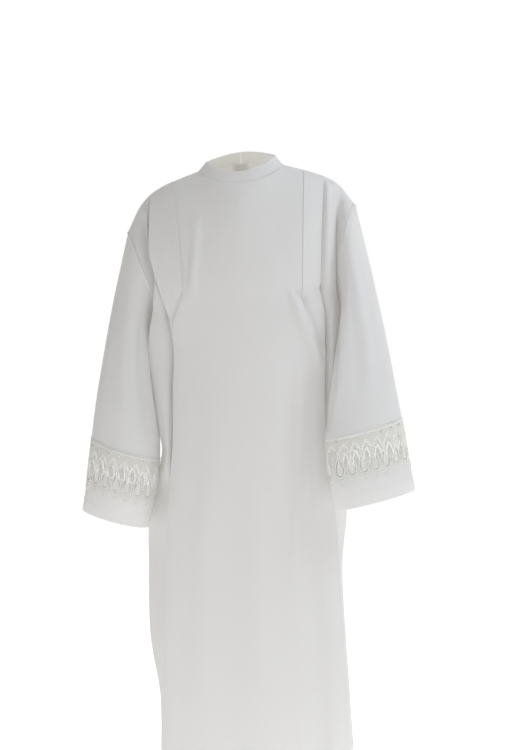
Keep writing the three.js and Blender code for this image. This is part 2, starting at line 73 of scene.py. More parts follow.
# The side folds: how deep at the back for one in front, how far the recess and the crease slant for
# their depth, and where the cloth beside the arm lies, across and in, on its way to the seam.
FOLD = {"back_depth": 0.7, "recess_slant": 0.12, "crease_slant": 0.6, "arm_across": 0.75, "arm_in": 0.55}
LATE_BEND = 1.3  # how slowly a line that keeps to the shoulder's side begins to cross over
# How the cloth falls from the shoulders: how round under the neck and in the folds, and where.
FALL = {"neck": 1.3, "neck_from": 0.12, "neck_to": 0.74, "fold": 0.95, "settle": 0.25}
# Above the underarm: how much deeper the recess and the ridge lie, how much further out the cloth
# beside the arm, and where that lies between the crease and the seam.
FULLNESS = {"recess": 34, "ridge": 8, "arm": 10, "arm_towards_seam": 0.6}
SET_BACK = {"front": 44, "back": 40}  # how far the face's edge lies behind its middle
TILT = {"slope": 0.1, "fade_from": 290, "fade_to": 640}  # the left side hangs higher, less so lower down
# The drops over which a soft fold opens and closes, and over which it drifts by its whole drift.
FLUTE = {"opening": 260, "closing": 400, "drift_over": 500}
FLY = {"width": 32, "length": 226}

# ---- Sizes of the finish ----
CLOTH = 0.35  # thickness of the sewn cloth as it looks at an edge
# The stitched tuck: its share across, the drop where it ends, how high it stands and from where the
# cloth outside it comes down again; over what drop it begins; over what share of its opening it fades
# and rises; and how far apart its own points lie where none is held.
TUCK = {
    "at": 0.76, "end": 262, "step": 0.8, "flat_from": 0.85, "begins": 30, "fades_from": 0.55,
    "fades_over": 0.5, "rises_over": 0.6, "loose": 0.14,
}
PANEL_PARTS = ["side_right", "upper_right", "upper_left", "side_left", "lower"]
SLEEVE_PARTS = ["upper_front", "upper_back", "lower_front", "lower_back"]
# Where the parts of a sleeve lie between its armhole (0) and the edge of its cuff (1).
LACE_SPAN = {"from": 0.795, "to": 0.94}
SLEEVE_END = 0.8
CUFF_SPAN = {"from": 0.905, "to": 1.0}
# A stitch, and how high each point of its path lies, in radii: both ends dip into the cloth.
STITCH = {
    "length": 2.3, "pitch": 3.1, "radius": 0.3, "first": 0.5, "sides": 4, "rise": (-0.6, 0.5, 0.5, -0.6),
    "lift": 0.15,
}
HEM_FOLD = 32  # how deep the hem is turned up
# How far a side fold goes in under its edge, and between which rows it opens and eases.
PLEAT = {
    "under": 10, "back": 5, "crisp": 1.2, "opens_by": 0.12, "eases_from": 1.25, "eases_over": 0.4,
    "eased": 0.75,
}
# The layer beneath it: by which row it shows, how far behind its lip it lies, and the shares from
# recess to ridge (or from edge to ridge) of its lip and of its flat part.
BENEATH = {"shows_by": 0.3, "behind": 2, "lip": 0.3, "level": 0.65, "flat": 0.55}
# Where each side stands out towards its sleeve: about which drop, over how long, and how far.
BULGE = {"right": {"drop": 298, "long": 36, "out": 8.0}, "left": {"drop": 312, "long": 55, "out": 2.6}}

# Each side fold: how far beyond the broad face's edge the layer beneath shows its lip, how far behind
# the edge that lies, between which drops it closes up, and where on the way down the edge leaves the
# shoulder's line. Below its stitching the tuck opens: where it meets the edge, by which drop, and how
# high it stands there. Last, how deep the fold goes in, as a share of the frame's.
SIDE_FOLD_COLUMNS = ["lip", "back", "from", "to", "late", "meets", "merge", "opens", "deep"]
SIDE_FOLDS = {
    place: named(SIDE_FOLD_COLUMNS, row)
    for place, row in {
        ("right", "front"): [5, 6, 620, 720, 0.66, 0.985, 340, 3.4, 0.8],
        ("left", "front"): [7, 4, 480, 640, 0.0, 0.77, 345, 0.5, 0.6],
        ("right", "back"): [5, 12, 320, 420, 0.0, 0.78, 320, 0.8, 0.9],
        ("left", "back"): [5, 12, 320, 420, 0.0, 0.78, 320, 0.8, 0.9],
    }.items()
}
# A band of lace: its repeats, the cell of its ground's grid, its thickness and how far off the sleeve
# it lies; and where on the sleeve, and in how many steps, its repeats are shared out evenly.
LACE = {
    "repeats": 17, "wide": 25, "tall": 108, "cell": 1.0, "thick": 0.5, "lift": 0.45,
    "even_at": 0.87, "steps": 361,
}
BAND = LACE["repeats"] * LACE["wide"]  # length of a band of lace

# Rings of the sleeves from the armhole (0 down) to the edge of the cuff (1): quarter points.
RING = ["down", "outer", "front", "inner", "back"]
SLEEVES = {
    "right": table(RING, [
        [0, (-257, 8, -138), (-222, -70, -218), (-190, 0, -303), (-224, 78, -220)],
        [0.1, (-270, 4, -195), (-234, -75, -262), (-205, -6, -342), (-236, 70, -262)],
        [0.3, (-292, -6, -300), (-246, -80, -345), (-207, -20, -405), (-250, 56, -345)],
        [0.5, (-311, -22, -410), (-253, -88, -445), (-200, -34, -492), (-256, 36, -445)],
        [0.68, (-327, -38, -515), (-257, -98, -545), (-188, -48, -576), (-260, 14, -545)],
        [0.8, (-336, -46, -590), (-262, -103, -616), (-187, -54, -634), (-264, 6, -612)],
        [0.93, (-347, -54, -690), (-276, -108, -714), (-200, -60, -732), (-276, -4, -708)],
        [1, (-355, -58, -742), (-284, -110, -764), (-211, -63, -780), (-284, -10, -760)],
    ]),
    "left": table(RING, [
        [0, (237, 8, -80), (206, -68, -168), (201, 0, -274), (222, 80, -178)],
        [0.1, (252, 2, -135), (215, -88, -210), (209, -24, -320), (240, 66, -212)],
        [0.3, (280, -24, -262), (226, -114, -300), (200, -68, -372), (256, 28, -305)],
        [0.5, (307, -60, -395), (238, -140, -425), (181, -112, -470), (262, -16, -428)],
        [0.68, (324, -84, -490), (244, -154, -515), (172, -126, -553), (260, -48, -515)],
        [0.8, (334, -96, -542), (246, -162, -566), (168, -134, -582), (260, -66, -562)],
        [0.93, (351, -114, -640), (262, -170, -662), (178, -142, -680), (268, -92, -656)],
        [1, (361, -124, -690), (270, -174, -713), (188, -146, -732), (276, -106, -708)],
    ]),
}

# The two sides: which way is out, and where the edge and the folds meet the shoulder seam.
SIDE_COLUMNS = ["name", "key", "out", "edge", "recess", "ridge", "crease"]
SIDES = {
    row[0]: named(SIDE_COLUMNS, row)
    for row in (["right", "R", -1, 0.68, 0.71, 0.8, 0.87], ["left", "L", 1, 0.57, 0.61, 0.72, 0.82])
}

# Sections of the hanging cloth below the underarm.
BODY = table(
    [
        "drop", "front", "back", "edgeR", "edgeL", "recess", "ridgeR", "ridgeL", "inR", "inL", "crease",
        "seamR", "seamL",
    ],
    [
        [290, -132, 116, -172, 160, 14, -194, 198, 14, 30, 20, -190, 201],
        [335, -136, 118, -161, 169, 26, -211, 205, 24, 44, 20, -187, 201],
        [385, -138, 120, -154, 171, 40, -214, 207, 34, 56, 20, -184, 202],
        [480, -140, 122, -156, 170, 56, -206, 207, 48, 64, 16, -180, 204],
        [560, -142, 124, -156, 171, 56, -196, 207, 56, 66, 12, -175, 204],
        [620, -143, 127, -158, 177, 46, -185, 211, 62, 68, 8, -170, 206],
        [745, -145, 131, -169, 193, 36, -214, 224, 80, 80, 8, -202, 216],
        [870, -146, 136, -174, 203, 40, -217, 214, 80, 80, 8, -205, 206],
        [1030, -147, 144, -178, 214, 46, -214, 222, 78, 78, 8, -201, 212],
        [1180, -148, 152, -178, 223, 48, -191, 233, 76, 76, 8, -178, 224],
        [LENGTH, -152, 166, -187, 237, 50, -196, 252, 74, 74, 8, -184, 242],
    ],
)

# Soft folds of the broad faces: where they run, how wide and deep, between which drops.
FLUTE_COLUMNS = ["at", "wide", "deep", "from", "to", "drift"]
FLUTES = {
    "front": [
        [0.62, 0.16, 7, 330, 1500, 0.02],
        [0.3, 0.2, 5, 600, 1600, 0.05],
        [-0.25, 0.22, 6, 560, 1600, -0.04],
        [-0.68, 0.14, 6, 340, 1400, -0.03],
    ],
    "back": [
        [0.55, 0.16, 14, 240, 1700, 0.05],
        [0.12, 0.16, 11, 560, 1700, 0.02],
        [-0.3, 0.18, 13, 300, 1700, -0.03],
        [-0.72, 0.14, 12, 260, 1700, -0.04],
    ],
}

# Creases: a line from (x, z) to (x, z), its width, and how far it stands out (or in). Each
# sways a little, and fades over a share of its length from just past both ends.
CREASE = {"sway": 0.35, "beat": 3.1, "past": 0.15, "fade": 0.4}
CREASE_COLUMNS = ["x0", "z0", "x1", "z1", "wide", "out"]
CREASES = {
    "front": [
        [-104, -112, -111, -288, 11, 5.0],
        [-119, -150, -131, -266, 8, -4.2],
        [-135, -266, -163, -336, 9, -4.0],
        [-125, -408, -118, -533, 14, -2.2],
        [117, -284, 102, -262, 6, -4.0],
        [112, -286, 162, -262, 6, -4.6],
        [98, -272, 160, -424, 7.5, 8.5],
        [118, -272, 165, -384, 7, -6.5],
        [116, -430, 116, -900, 15, 5.0],
        [88, -420, 92, -780, 18, -4.0],
        [142, -440, 142, -860, 12, -2.8],
        [-40, -330, -62, -560, 26, -1.5],
        [30, -640, 22, -1120, 24, 1.8],
        [-92, -700, -100, -1180, 18, 2.2],
        [60, -120, 96, -230, 14, -1.4],
        [-30, -96, -70, -168, 12, 1.0],
        [-150, -980, -146, -1380, 14, -2.4],
        [176, -860, 190, -1330, 14, 2.4],
    ],
    "back": [
        [-100, -118, -126, -290, 10, 2.0],
        [118, -110, 132, -262, 10, 2.0],
        [-62, -260, -48, -470, 16, -2.0],
        [64, -300, 40, -540, 18, 2.4],
        [-130, -420, -112, -760, 16, 2.4],
        [96, -560, 120, -1010, 18, -2.4],
        [0, -620, -12, -1100, 22, 2.4],
        [-80, -860, -96, -1330, 18, -2.2],
        [150, -940, 168, -1380, 14, 2.4],
    ],
}


# ---- Arithmetic on whole arrays ----
def mix(a, b, t):
    return a + (b - a) * t


def smooth(t):
    c = np.clip(t, 0, 1)
    return c * c * (3 - 2 * c)


def length_of(v):
    return np.sqrt((v * v).sum(-1, keepdims=True))


def unit(v):
    return v / np.maximum(length_of(v), 1e-9)


def point(x, y, z):
    """Points from three arrays that may differ in shape."""
    return np.stack(np.broadcast_arrays(x, y, z), -1).astype(float)


def reading(keys, values, at):
    """A cubic through a table's rows: each span's end slopes are those of the chords across its ends."""
    at = np.asarray(at, float)
    i = np.clip(np.searchsorted(keys, at) - 1, 0, len(keys) - 2)
    before, after = np.maximum(i - 1, 0), np.minimum(i + 2, len(keys) - 1)

    def lift(a):
        return a.reshape(a.shape + (1,) * (values.ndim - 1))

    span = lift(keys[i + 1] - keys[i])
    start = (values[i + 1] - values[before]) / lift(keys[i + 1] - keys[before])
    end = (values[after] - values[i]) / lift(keys[after] - keys[i])
    t = np.clip(lift(at - keys[i]) / span, 0, 1)
    t2, t3 = t * t, t * t * t
    return (
        (2 * t3 - 3 * t2 + 1) * values[i]
        + (t3 - 2 * t2 + t) * span * start
        + (3 * t2 - 2 * t3) * values[i + 1]
        + (t3 - t2) * span * end
    )


def pulled(controls, t):
    """A quadratic B-spline from the first control to the last, pulled towards those between."""
    spans = len(controls) - 2
    at = np.clip(t, 0, 1) * spans
    i = np.minimum(np.floor(at).astype(int), spans - 1)
    f = (at - i)[..., None]
    stack = np.stack(np.broadcast_arrays(*controls), 0)
    i = np.broadcast_to(i, stack.shape[1:-1])
    rows, columns = np.indices(i.shape)
    a, b, c = (stack[i + k, rows, columns] for k in range(3))
    first = np.where((i == 0)[..., None], a, (a + b) / 2)
    last = np.where((i == spans - 1)[..., None], c, (b + c) / 2)
    return first * (1 - f) ** 2 + b * 2 * f * (1 - f) + last * f * f


# ---- Sleeves ----
def ring_points(side_name, down, angle):
    """Points of a sleeve: an ellipse through a ring's quarter points, its front and back halves each
    with its own bulge. Angle 0 is the outer quarter point and pi the inner one, front half first."""
    rings = SLEEVES[side_name]
    down, angle = np.broadcast_arrays(down, angle)
    outer, front, inner, back = (reading(rings["down"], rings[name], down) for name in RING[1:])
    middle = (outer + inner) / 2
    sine = np.sin(angle)[..., None]
    bulge = np.where(sine >= 0, front, back) - middle
    return middle + (outer - middle) * np.cos(angle)[..., None] + bulge * np.abs(sine)


def armhole(side, face, share):
    """The armhole seam: the sleeve's first ring from its top (0) to the underarm (1)."""
    angle = np.pi * np.asarray(share) ** ARMHOLE_CROWD
    return ring_points(side["name"], 0.0, angle if face == "front" else 2 * np.pi - angle)


# ---- Front and back ----
def neck_x(side):
    return NECK["middle"] + side["out"] * NECK["half"]


def neck_z(x):
    return NECK["level"] + NECK["tilt"] * (x - NECK["middle"])


def neckline(angle):
    """The neckline: half an ellipse ahead and half behind, dipping in front and rising at the back."""
    ahead = np.cos(angle)
    x = NECK["middle"] + NECK["half"] * np.sin(angle)
    reach = np.where(ahead > 0, NECK["front"] + SHOULDER["y"], NECK["back"] - SHOULDER["y"])
    rise = np.where(ahead > 0, -NECK["front_drop"], NECK["back_rise"])
    return point(x, SHOULDER["y"] - reach * ahead, neck_z(x) + rise * np.abs(ahead) ** NECK["dip"])


def shoulder(side, share):
    """The shoulder seam from the neck (0) to the armhole (1): an even slope that then rolls over."""
    end = SLEEVES[side["name"]]["outer"][0]
    share = np.asarray(share, float)
    fall = SHOULDER["slope"] * share + (1 - SHOULDER["slope"]) * share ** SHOULDER["roll"]
    x = mix(neck_x(side), end[0], share)
    return point(x, SHOULDER["y"], mix(neck_z(neck_x(side)), end[2], fall))


def stations(side, face, drop):
    """The named points across half a section at or below the underarm."""
    sign = 1 if face == "front" else -1
    soft = 1 if face == "front" else FOLD["back_depth"]

    def read(column):
        return reading(BODY["drop"], BODY[column], drop)

    edge_x, ridge_x, seam_x = (read(name + side["key"]) for name in ("edge", "ridge", "seam"))
    recess, ridge_in, crease = (read(name) * soft for name in ("recess", "in" + side["key"], "crease"))
    edge_y = read(face) + sign * SET_BACK[face]
    ridge_y = edge_y + sign * ridge_in
    lean = TILT["slope"] * (1 - smooth((drop - TILT["fade_from"]) / (TILT["fade_to"] - TILT["fade_from"])))

    def place(x, y):
        return point(x, y, -drop + lean * (x - NECK["middle"]))

    out = side["out"]
    return {
        "middle": place((read("edgeR") + read("edgeL")) / 2, read(face)),
        "edge": place(edge_x, edge_y),
        "recess": place(edge_x - out * FOLD["recess_slant"] * recess, edge_y + sign * recess),
        "ridge": place(ridge_x, ridge_y),
        "crease": place(ridge_x - out * FOLD["crease_slant"] * crease, ridge_y + sign * crease),
        "arm": place(
            mix(ridge_x, seam_x, FOLD["arm_across"]), mix(ridge_y + sign * crease, 0, FOLD["arm_in"])
        ),
        "seam": place(seam_x, 0),
    }


def flutes(face, position, drop):
    """How far the soft folds move a broad face inwards: bell curves across that open and close down it."""
    depth = np.zeros(np.broadcast(position, drop).shape)
    for row in FLUTES[face]:
        flute = named(FLUTE_COLUMNS, row)
        opened = smooth((drop - flute["from"]) / FLUTE["opening"])
        closed = smooth((drop - flute["to"]) / FLUTE["closing"] + 0.5)
        drifted = flute["drift"] * (drop - flute["from"]) / FLUTE["drift_over"]
        off = (position - flute["at"] - drifted) / flute["wide"]
        depth += flute["deep"] * opened * (1 - closed) * np.exp(-off * off)
    return depth


def hanging(top, low, share, roundness, late=0.0):
    """A line from its place on the shoulder to its place at the underarm, forward first, then down. A
    late line keeps to the shoulder's side and crosses over near the underarm."""
    angle = share * np.pi / 2
    aside = np.clip((share - late) / (1 - late), 0, 1) ** LATE_BEND if late else smooth(share)
    return point(
        mix(top[..., 0], low[..., 0], aside),
        mix(top[..., 1], low[..., 1], np.sin(angle) ** roundness),
        mix(top[..., 2], low[..., 2], 1 - np.cos(angle) ** roundness),
    )


def top_of_face(side, face, across):
    """Where a line of the broad face starts: on the neckline, and past its end on the shoulder seam."""
    turn = np.minimum(across / NECK_END, 1) * np.pi / 2 * side["out"]
    from_neck = neckline(turn if face == "front" else np.pi - turn)
    from_shoulder = shoulder(side, np.maximum(across - NECK_END, 0) / (1 - NECK_END) * side["edge"])
    return np.where((across < NECK_END)[..., None], from_neck, from_shoulder)


def line_down(top, low, row, roundness=1.0, late=0.0):
    """A line's points: above the underarm hanging from its place on the shoulder, below it as given."""
    above = hanging(top, low, np.minimum(row, 1), roundness, late)
    return np.where((row < 1)[..., None], above, low)


def fold_lines(side, face, row, at):
    """The lines beyond the broad face: edge, recess, ridge, crease, arm and seam. Above the underarm the
    folds are deeper and the cloth beside the arm fuller, by a sine that dies away at both ends."""
    sign = 1 if face == "front" else -1
    share = np.minimum(row, 1)
    upper = row < 1
    late = SIDE_FOLDS[side["name"], face]["late"]
    edge = line_down(shoulder(side, side["edge"]), at["edge"], row, 1.0, late)
    recess = line_down(shoulder(side, side["recess"]), at["recess"], row, 1.0, late)
    ridge = line_down(shoulder(side, side["ridge"]), at["ridge"], row, FALL["fold"])
    crease = line_down(shoulder(side, side["crease"]), at["crease"], row, FALL["fold"])
    seam = np.where(upper[..., None], armhole(side, face, share), at["seam"])
    arm = np.where(upper[..., None], mix(crease, seam, FULLNESS["arm_towards_seam"]), at["arm"])
    full = np.where(upper, np.sin(np.pi * share) * (1 - share), 0)
    recess[..., 1] += sign * FULLNESS["recess"] * full
    ridge[..., 1] += sign * FULLNESS["ridge"] * full
    arm[..., 1] -= sign * FULLNESS["arm"] * full
    return edge, recess, ridge, crease, arm, seam


def fold_controls(side, face, row, drop, at):
    """The spline's points from the broad face's edge to the seam. The edge is a crisp fold: the cloth
    turns round it and goes in a little way under the broad face. The layer beneath shows beyond it, by
    a lip and flat cloth up to the ridge."""
    sign = 1 if face == "front" else -1
    fold = SIDE_FOLDS[side["name"], face]
    edge, recess, ridge, crease, arm, seam = fold_lines(side, face, row, at)
    eased = smooth((row - PLEAT["eases_from"]) / PLEAT["eases_over"])
    pleated = smooth(row / PLEAT["opens_by"]) * (1 - PLEAT["eased"] * eased)
    recess = mix(edge, recess, fold["deep"])
    turned = edge + point(-side["out"] * PLEAT["crisp"], sign * PLEAT["crisp"] * 2, 0)
    recess[..., 0] -= side["out"] * PLEAT["under"] * pleated
    recess[..., 1] += sign * PLEAT["back"] * pleated
    bulge = BULGE[side["name"]]
    stands = side["out"] * bulge["out"] * np.exp(-(((ridge[..., 2] + bulge["drop"]) / bulge["long"]) ** 2))
    ridge[..., 0] += stands
    crease[..., 0] += stands
    shown = smooth(row / BENEATH["shows_by"])
    shown = (shown * (1 - smooth((drop - fold["from"]) / (fold["to"] - fold["from"]))))[..., None]
    past = edge + point(side["out"] * fold["lip"], sign * fold["back"], 0)
    level = mix(edge, ridge, BENEATH["flat"])
    level[..., 1] = edge[..., 1] + sign * (fold["back"] + BENEATH["behind"])
    lip = mix(mix(recess, ridge, BENEATH["lip"]), past, shown)
    level = mix(mix(recess, ridge, BENEATH["level"]), level, shown)
    return [edge, turned, recess, lip, level, ridge, crease, arm, seam]


def cloth_points(side, face, across, row):
    """The hanging cloth: across is 0 at the middle, 1 at the face's edge and 2 at the seam; row is 0
    at the top, 1 at the underarm and 2 at the hem. The broad face bends late towards its edge, and a
    spline pulled towards the fold's named points carries on from there to the seam."""
    sign = 1 if face == "front" else -1
    drop = mix(UNDERARM, LENGTH, np.maximum(row - 1, 0))
    at = stations(side, face, drop)

    def facing(position):
        low = mix(at["middle"], at["edge"], position[..., None])
        low[..., 1] = mix(at["middle"][..., 1], at["edge"][..., 1], np.abs(position) ** FACE_BEND)
        beyond = (position - FALL["neck_from"]) / (FALL["neck_to"] - FALL["neck_from"])
        p = line_down(top_of_face(side, face, position), low, row, mix(FALL["neck"], 1, smooth(beyond)))
        fallen = np.where(row < 1, np.maximum(-p[..., 2], 0), drop)
        settled = smooth(np.minimum(row, 1) / FALL["settle"])
        p[..., 1] += sign * flutes(face, side["out"] * position, fallen) * settled
        return p

    near, nearer = (np.full(across.shape, EDGE_BEND[name]) for name in ("from", "near"))
    controls = [facing(near), facing(nearer), *fold_controls(side, face, row, drop, at)]
    folded = pulled(controls, (across - EDGE_BEND["from"]) / (2 - EDGE_BEND["from"]))
    broad = facing(np.minimum(across, EDGE_BEND["from"]))
    return np.where((across <= EDGE_BEND["from"])[..., None], broad, folded)


def grid_facing(grid, closed=False):
    """The unit vector that a grid faces at each point, from its neighbours across and along."""
    if closed:
        across = np.roll(grid, -1, 1) - np.roll(grid, 1, 1)
    else:
        across = np.gradient(grid, axis=1)
    return unit(np.cross(across, np.gradient(grid, axis=0)))


# ---- Meshes ----
def from_arrays(name, points, faces, uv=None):
    """A mesh object from points in millimetres, faces as rows of corners, and each corner's UV."""
    mesh = bpy.data.meshes.new(name)
    mesh.vertices.add(len(points))
    mesh.vertices.foreach_set("co", (np.asarray(points, float) * MM).ravel())
    corners = faces.shape[1]
    mesh.loops.add(faces.size)
    mesh.loops.foreach_set("vertex_index", faces.ravel().astype(np.int32))
    mesh.polygons.add(len(faces))
    mesh.polygons.foreach_set("loop_start", np.arange(0, faces.size, corners, dtype=np.int32))
    mesh.polygons.foreach_set("use_smooth", np.ones(len(faces), bool))
    if uv is not None:
        mesh.uv_layers.new(name="cut").data.foreach_set("uv", np.asarray(uv, float).ravel())
    mesh.update()
    mesh.validate()
    piece = bpy.data.objects.new(name, mesh)
    bpy.context.scene.collection.objects.link(piece)
    return piece


def grid_faces(rows, columns, closed, turned):
    """The quads of a grid, as corners, with the same corners counted on past a closed seam."""
    i, j = np.meshgrid(np.arange(rows - 1), np.arange(columns if closed else columns - 1), indexing="ij")
    corners = [(i, j), (i + 1, j), (i + 1, j + 1), (i, j + 1)]
    if turned:
        corners.reverse()
    faces = np.stack([a * columns + b % columns for a, b in corners], -1).reshape(-1, 4)
    wide = columns + 1 if closed else columns
    spread = np.stack([a * wide + b for a, b in corners], -1).reshape(-1, 4)
    return faces, spread


def cut_coordinates(grid, closed):
    """Where each point lies on the flat cut, in metres: lengths along its row and down its column."""
    wide = np.concatenate([grid, grid[:, :1]], 1) if closed else grid
    across = np.linalg.norm(np.diff(wide, axis=1), axis=2).cumsum(1)
    across = np.concatenate([np.zeros((len(grid), 1)), across], 1)
    across -= across[:, across.shape[1] // 2, None]
    down = np.linalg.norm(np.diff(wide, axis=0), axis=2).cumsum(0)
    down = np.concatenate([np.zeros((1, wide.shape[1])), down], 0)
    return np.stack([across, down], -1) * MM


def cloth_piece(name, grid, closed=False, turned=False, thickness=CLOTH):
    """A piece of cloth from a grid of points, with its thickness on the inner side."""
    faces, spread = grid_faces(*grid.shape[:2], closed, turned)
    uv = cut_coordinates(grid, closed).reshape(-1, 2)[spread.ravel()]
    piece = from_arrays(name, grid.reshape(-1, 3), faces, uv)
    solid = piece.modifiers.new("thickness", "SOLIDIFY")
    solid.thickness = thickness * MM
    solid.offset = -1
    return piece


# ---- The broad panels, with their tucks and creases ----
# The tuck's section: how far each point lies sideways and how high, from the cloth below to the top.
TUCK_SECTION = table(["aside", "high"], [
    [0, 0], [0.5, 0.02], [0.9, 0.06], [1, 0.2], [0.9, 0.36], [0.5, 0.4],
    [-0.2, 0.41], [-0.45, 0.52], [-0.35, 0.68], [0.1, 0.8], [1.2, 0.8],
])
INSIDE, OUTSIDE = -1, -2  # columns that belong to no tuck: towards the middle, and towards the edge
PANEL_ROWS = np.concatenate([np.linspace(0, 1, 56)[:-1], np.linspace(1, 2, 112)])
# How many columns half a panel has inside its tuck, outside it, in its folds and beside the arm; how
# far beyond the tuck they go on, and where the folds and the cloth beside the arm end.
COUNT = {"inner": 42, "outer": 15, "fold": 31, "arm": 16}
ENDS = {"beyond": 0.012, "fold": 1.55, "arm": 1.97, "last": 1.985}
# Below the corner of the neck the cloth is eased: over how many neighbours, how often, and where.
EASE = {
    "reach": 4, "bell": 3, "passes": 16, "from_middle": 0.2, "to_tuck": 0.12, "row_from": 0.03,
    "row_to": 0.95, "over": 0.3,
}
APART = 1e-4  # a share across that keeps points of a tuck apart where the way they face is worked out
# How many columns beside a seam and a stitched tuck no crease moves, and how that ends below a tuck.
STILL = {"seam_columns": 12, "tuck_columns": 5, "above_end": 20, "over": 30}
FIRST_ACROSS = 0.02  # keeps columns apart under the corner of the neck, for the same reason


def creased(face, grid):
    """How far the creases move each point outwards: a bell across each line, fading at both ends."""
    x, z = grid[..., 0], grid[..., 2]
    out = np.zeros(x.shape)
    for row in CREASES[face]:
        crease = named(CREASE_COLUMNS, row)
        run = np.array([crease["x1"] - crease["x0"], crease["z1"] - crease["z0"]], float)
        long = np.hypot(*run)
        along = ((x - crease["x0"]) * run[0] + (z - crease["z0"]) * run[1]) / long**2
        aside = ((x - crease["x0"]) * run[1] - (z - crease["z0"]) * run[0]) / long
        wave = CREASE["sway"] * crease["wide"] * np.sin(CREASE["beat"] * along + crease["x0"])
        fade = smooth((along + CREASE["past"]) / CREASE["fade"])
        fade = fade * smooth((1 + CREASE["past"] - along) / CREASE["fade"])
        out += crease["out"] * fade * np.exp(-(((aside + wave) / crease["wide"]) ** 2))
    return out


def half_columns():
    """Columns from the middle (0) to the seam (2), crowded at the tuck, which has its own points; and
    which point of the tuck's section each column is, or that it lies inside or outside the tuck."""
    inner = np.linspace(0, TUCK["at"], COUNT["inner"])[:-1]
    tuck = np.full(len(TUCK_SECTION["aside"]), TUCK["at"])
    outer = np.concatenate([
        np.linspace(TUCK["at"] + ENDS["beyond"], 1, COUNT["outer"])[:-1],
        np.linspace(1, ENDS["fold"], COUNT["fold"])[:-1],
        np.linspace(ENDS["fold"], ENDS["arm"], COUNT["arm"]),
        [ENDS["last"], 2],
    ])
    outside = np.full(len(outer), OUTSIDE)
    section = np.concatenate([np.full(len(inner), INSIDE), np.arange(len(tuck)), outside])
    return np.concatenate([inner, tuck, outer]), section


def easing(grid, columns, section, row):
    """The grid eased below the corner of the neck: again and again, each point there moves towards the
    mean of its neighbours across, which count by a bell."""
    cells = np.arange(-EASE["reach"], EASE["reach"] + 1)
    share = np.exp(-((cells / EASE["bell"]) ** 2))
    near = np.clip(np.arange(grid.shape[1])[:, None] + cells, 0, np.count_nonzero(section == INSIDE) - 1)
    ease = smooth(columns / EASE["from_middle"]) * smooth((TUCK["at"] - columns) / EASE["to_tuck"])
    ease = ease * (section == INSIDE) * smooth((row - EASE["row_from"]) / EASE["over"])
    ease = ease * (1 - smooth((row - EASE["row_to"]) / EASE["over"]))
    for _ in range(EASE["passes"]):
        mean = (grid[:, near] * (share / share.sum())[:, None]).sum(2)
        grid = mix(grid, mean, ease[..., None])
    return grid


def directions(side, face, across, row):
    """The way that the cloth faces at each point, and the way across it towards the side."""
    facing = grid_facing(cloth_points(side, face, across, row))
    facing *= np.sign((facing[..., 1:2] * (-1 if face == "front" else 1)).mean())
    sideways = unit(np.cross(facing, np.array([0.0, 0.0, 1.0])))
    return facing, sideways * np.sign(sideways[..., :1].mean() * side["out"])


def half_panel(side, face, rows):
    """One half of a panel. The tuck's line runs down at one share across and, once it is released,
    slants out to the edge; its section is added along the cloth and outwards from it."""
    columns, section = half_columns()
    fold = SIDE_FOLDS[side["name"], face]
    drop = np.where(rows < 1, UNDERARM * rows, mix(UNDERARM, LENGTH, rows - 1))[:, None]
    open_part = (drop - TUCK["end"]) / (fold["merge"] - TUCK["end"])
    at = mix(TUCK["at"], fold["meets"], smooth(open_part))
    room = (1 - at) / (1 - TUCK["at"])
    inner = columns / TUCK["at"] * at
    outer = mix(at, 1.0, (columns - TUCK["at"]) / (1 - TUCK["at"]))
    across = np.where(columns <= TUCK["at"], inner, np.where(columns < 1, outer, columns))
    row = np.broadcast_to(rows[:, None], across.shape)
    grid = easing(cloth_points(side, face, across, row), columns, section, row)
    step = np.maximum(section, 0)  # which point of the tuck's section a column is
    apart = np.maximum(across, FIRST_ACROSS * columns) + step * APART * room
    facing, sideways = directions(side, face, apart, row)
    held = smooth(drop / TUCK["begins"])
    held = held * (1 - smooth((open_part - TUCK["fades_from"]) / TUCK["fades_over"]))
    higher = mix(1, fold["opens"] / TUCK["step"], smooth(open_part / TUCK["rises_over"]))
    aside = np.where(section >= 0, TUCK_SECTION["aside"][step], 0)
    aside = (aside * held + step * TUCK["loose"] * (1 - held)) * room
    beyond = np.where(section == OUTSIDE, TUCK["step"], 0)
    beyond = beyond * (1 - smooth((across - TUCK["flat_from"]) / (1 - TUCK["flat_from"])))
    high = np.where(section >= 0, TUCK_SECTION["high"][step], beyond) * held * higher
    return grid + (sideways * aside[..., None] + facing * high[..., None])


def panel(face):
    """Front or back, from the right seam across the middle to the left seam, with its creases."""
    halves = [half_panel(SIDES[n], face, PANEL_ROWS) for n in ("right", "left")]
    grid = np.concatenate([halves[0][:, ::-1], halves[1][:, 1:]], 1)
    section = half_columns()[1]
    of_tuck = np.concatenate([section[::-1], section[1:]]) >= 0
    # A tuck's points all move the way that the cloth beside it faces.
    beside = np.nonzero(~of_tuck)[0]
    beside = beside[np.abs(np.arange(len(of_tuck))[:, None] - beside).argmin(1)]
    facing = grid_facing(grid)[:, beside]
    facing *= np.sign(-facing[..., 1].mean() if face == "front" else facing[..., 1].mean())
    column = np.arange(len(of_tuck))
    free = smooth(np.minimum(column, column[::-1]) / STILL["seam_columns"])
    # A stitched tuck stays straight: no crease moves it, nor the cloth beside it.
    from_tuck = np.abs(column[:, None] - np.nonzero(of_tuck)[0]).min(1)
    above_end = (PANEL_ROWS * UNDERARM - TUCK["end"] + STILL["above_end"]) / STILL["over"]
    stitched = 1 - smooth(above_end)[:, None]
    free = free * (1 - stitched * (1 - smooth(from_tuck / STILL["tuck_columns"])))
    return grid + facing * (creased(face, grid) * free)[..., None]


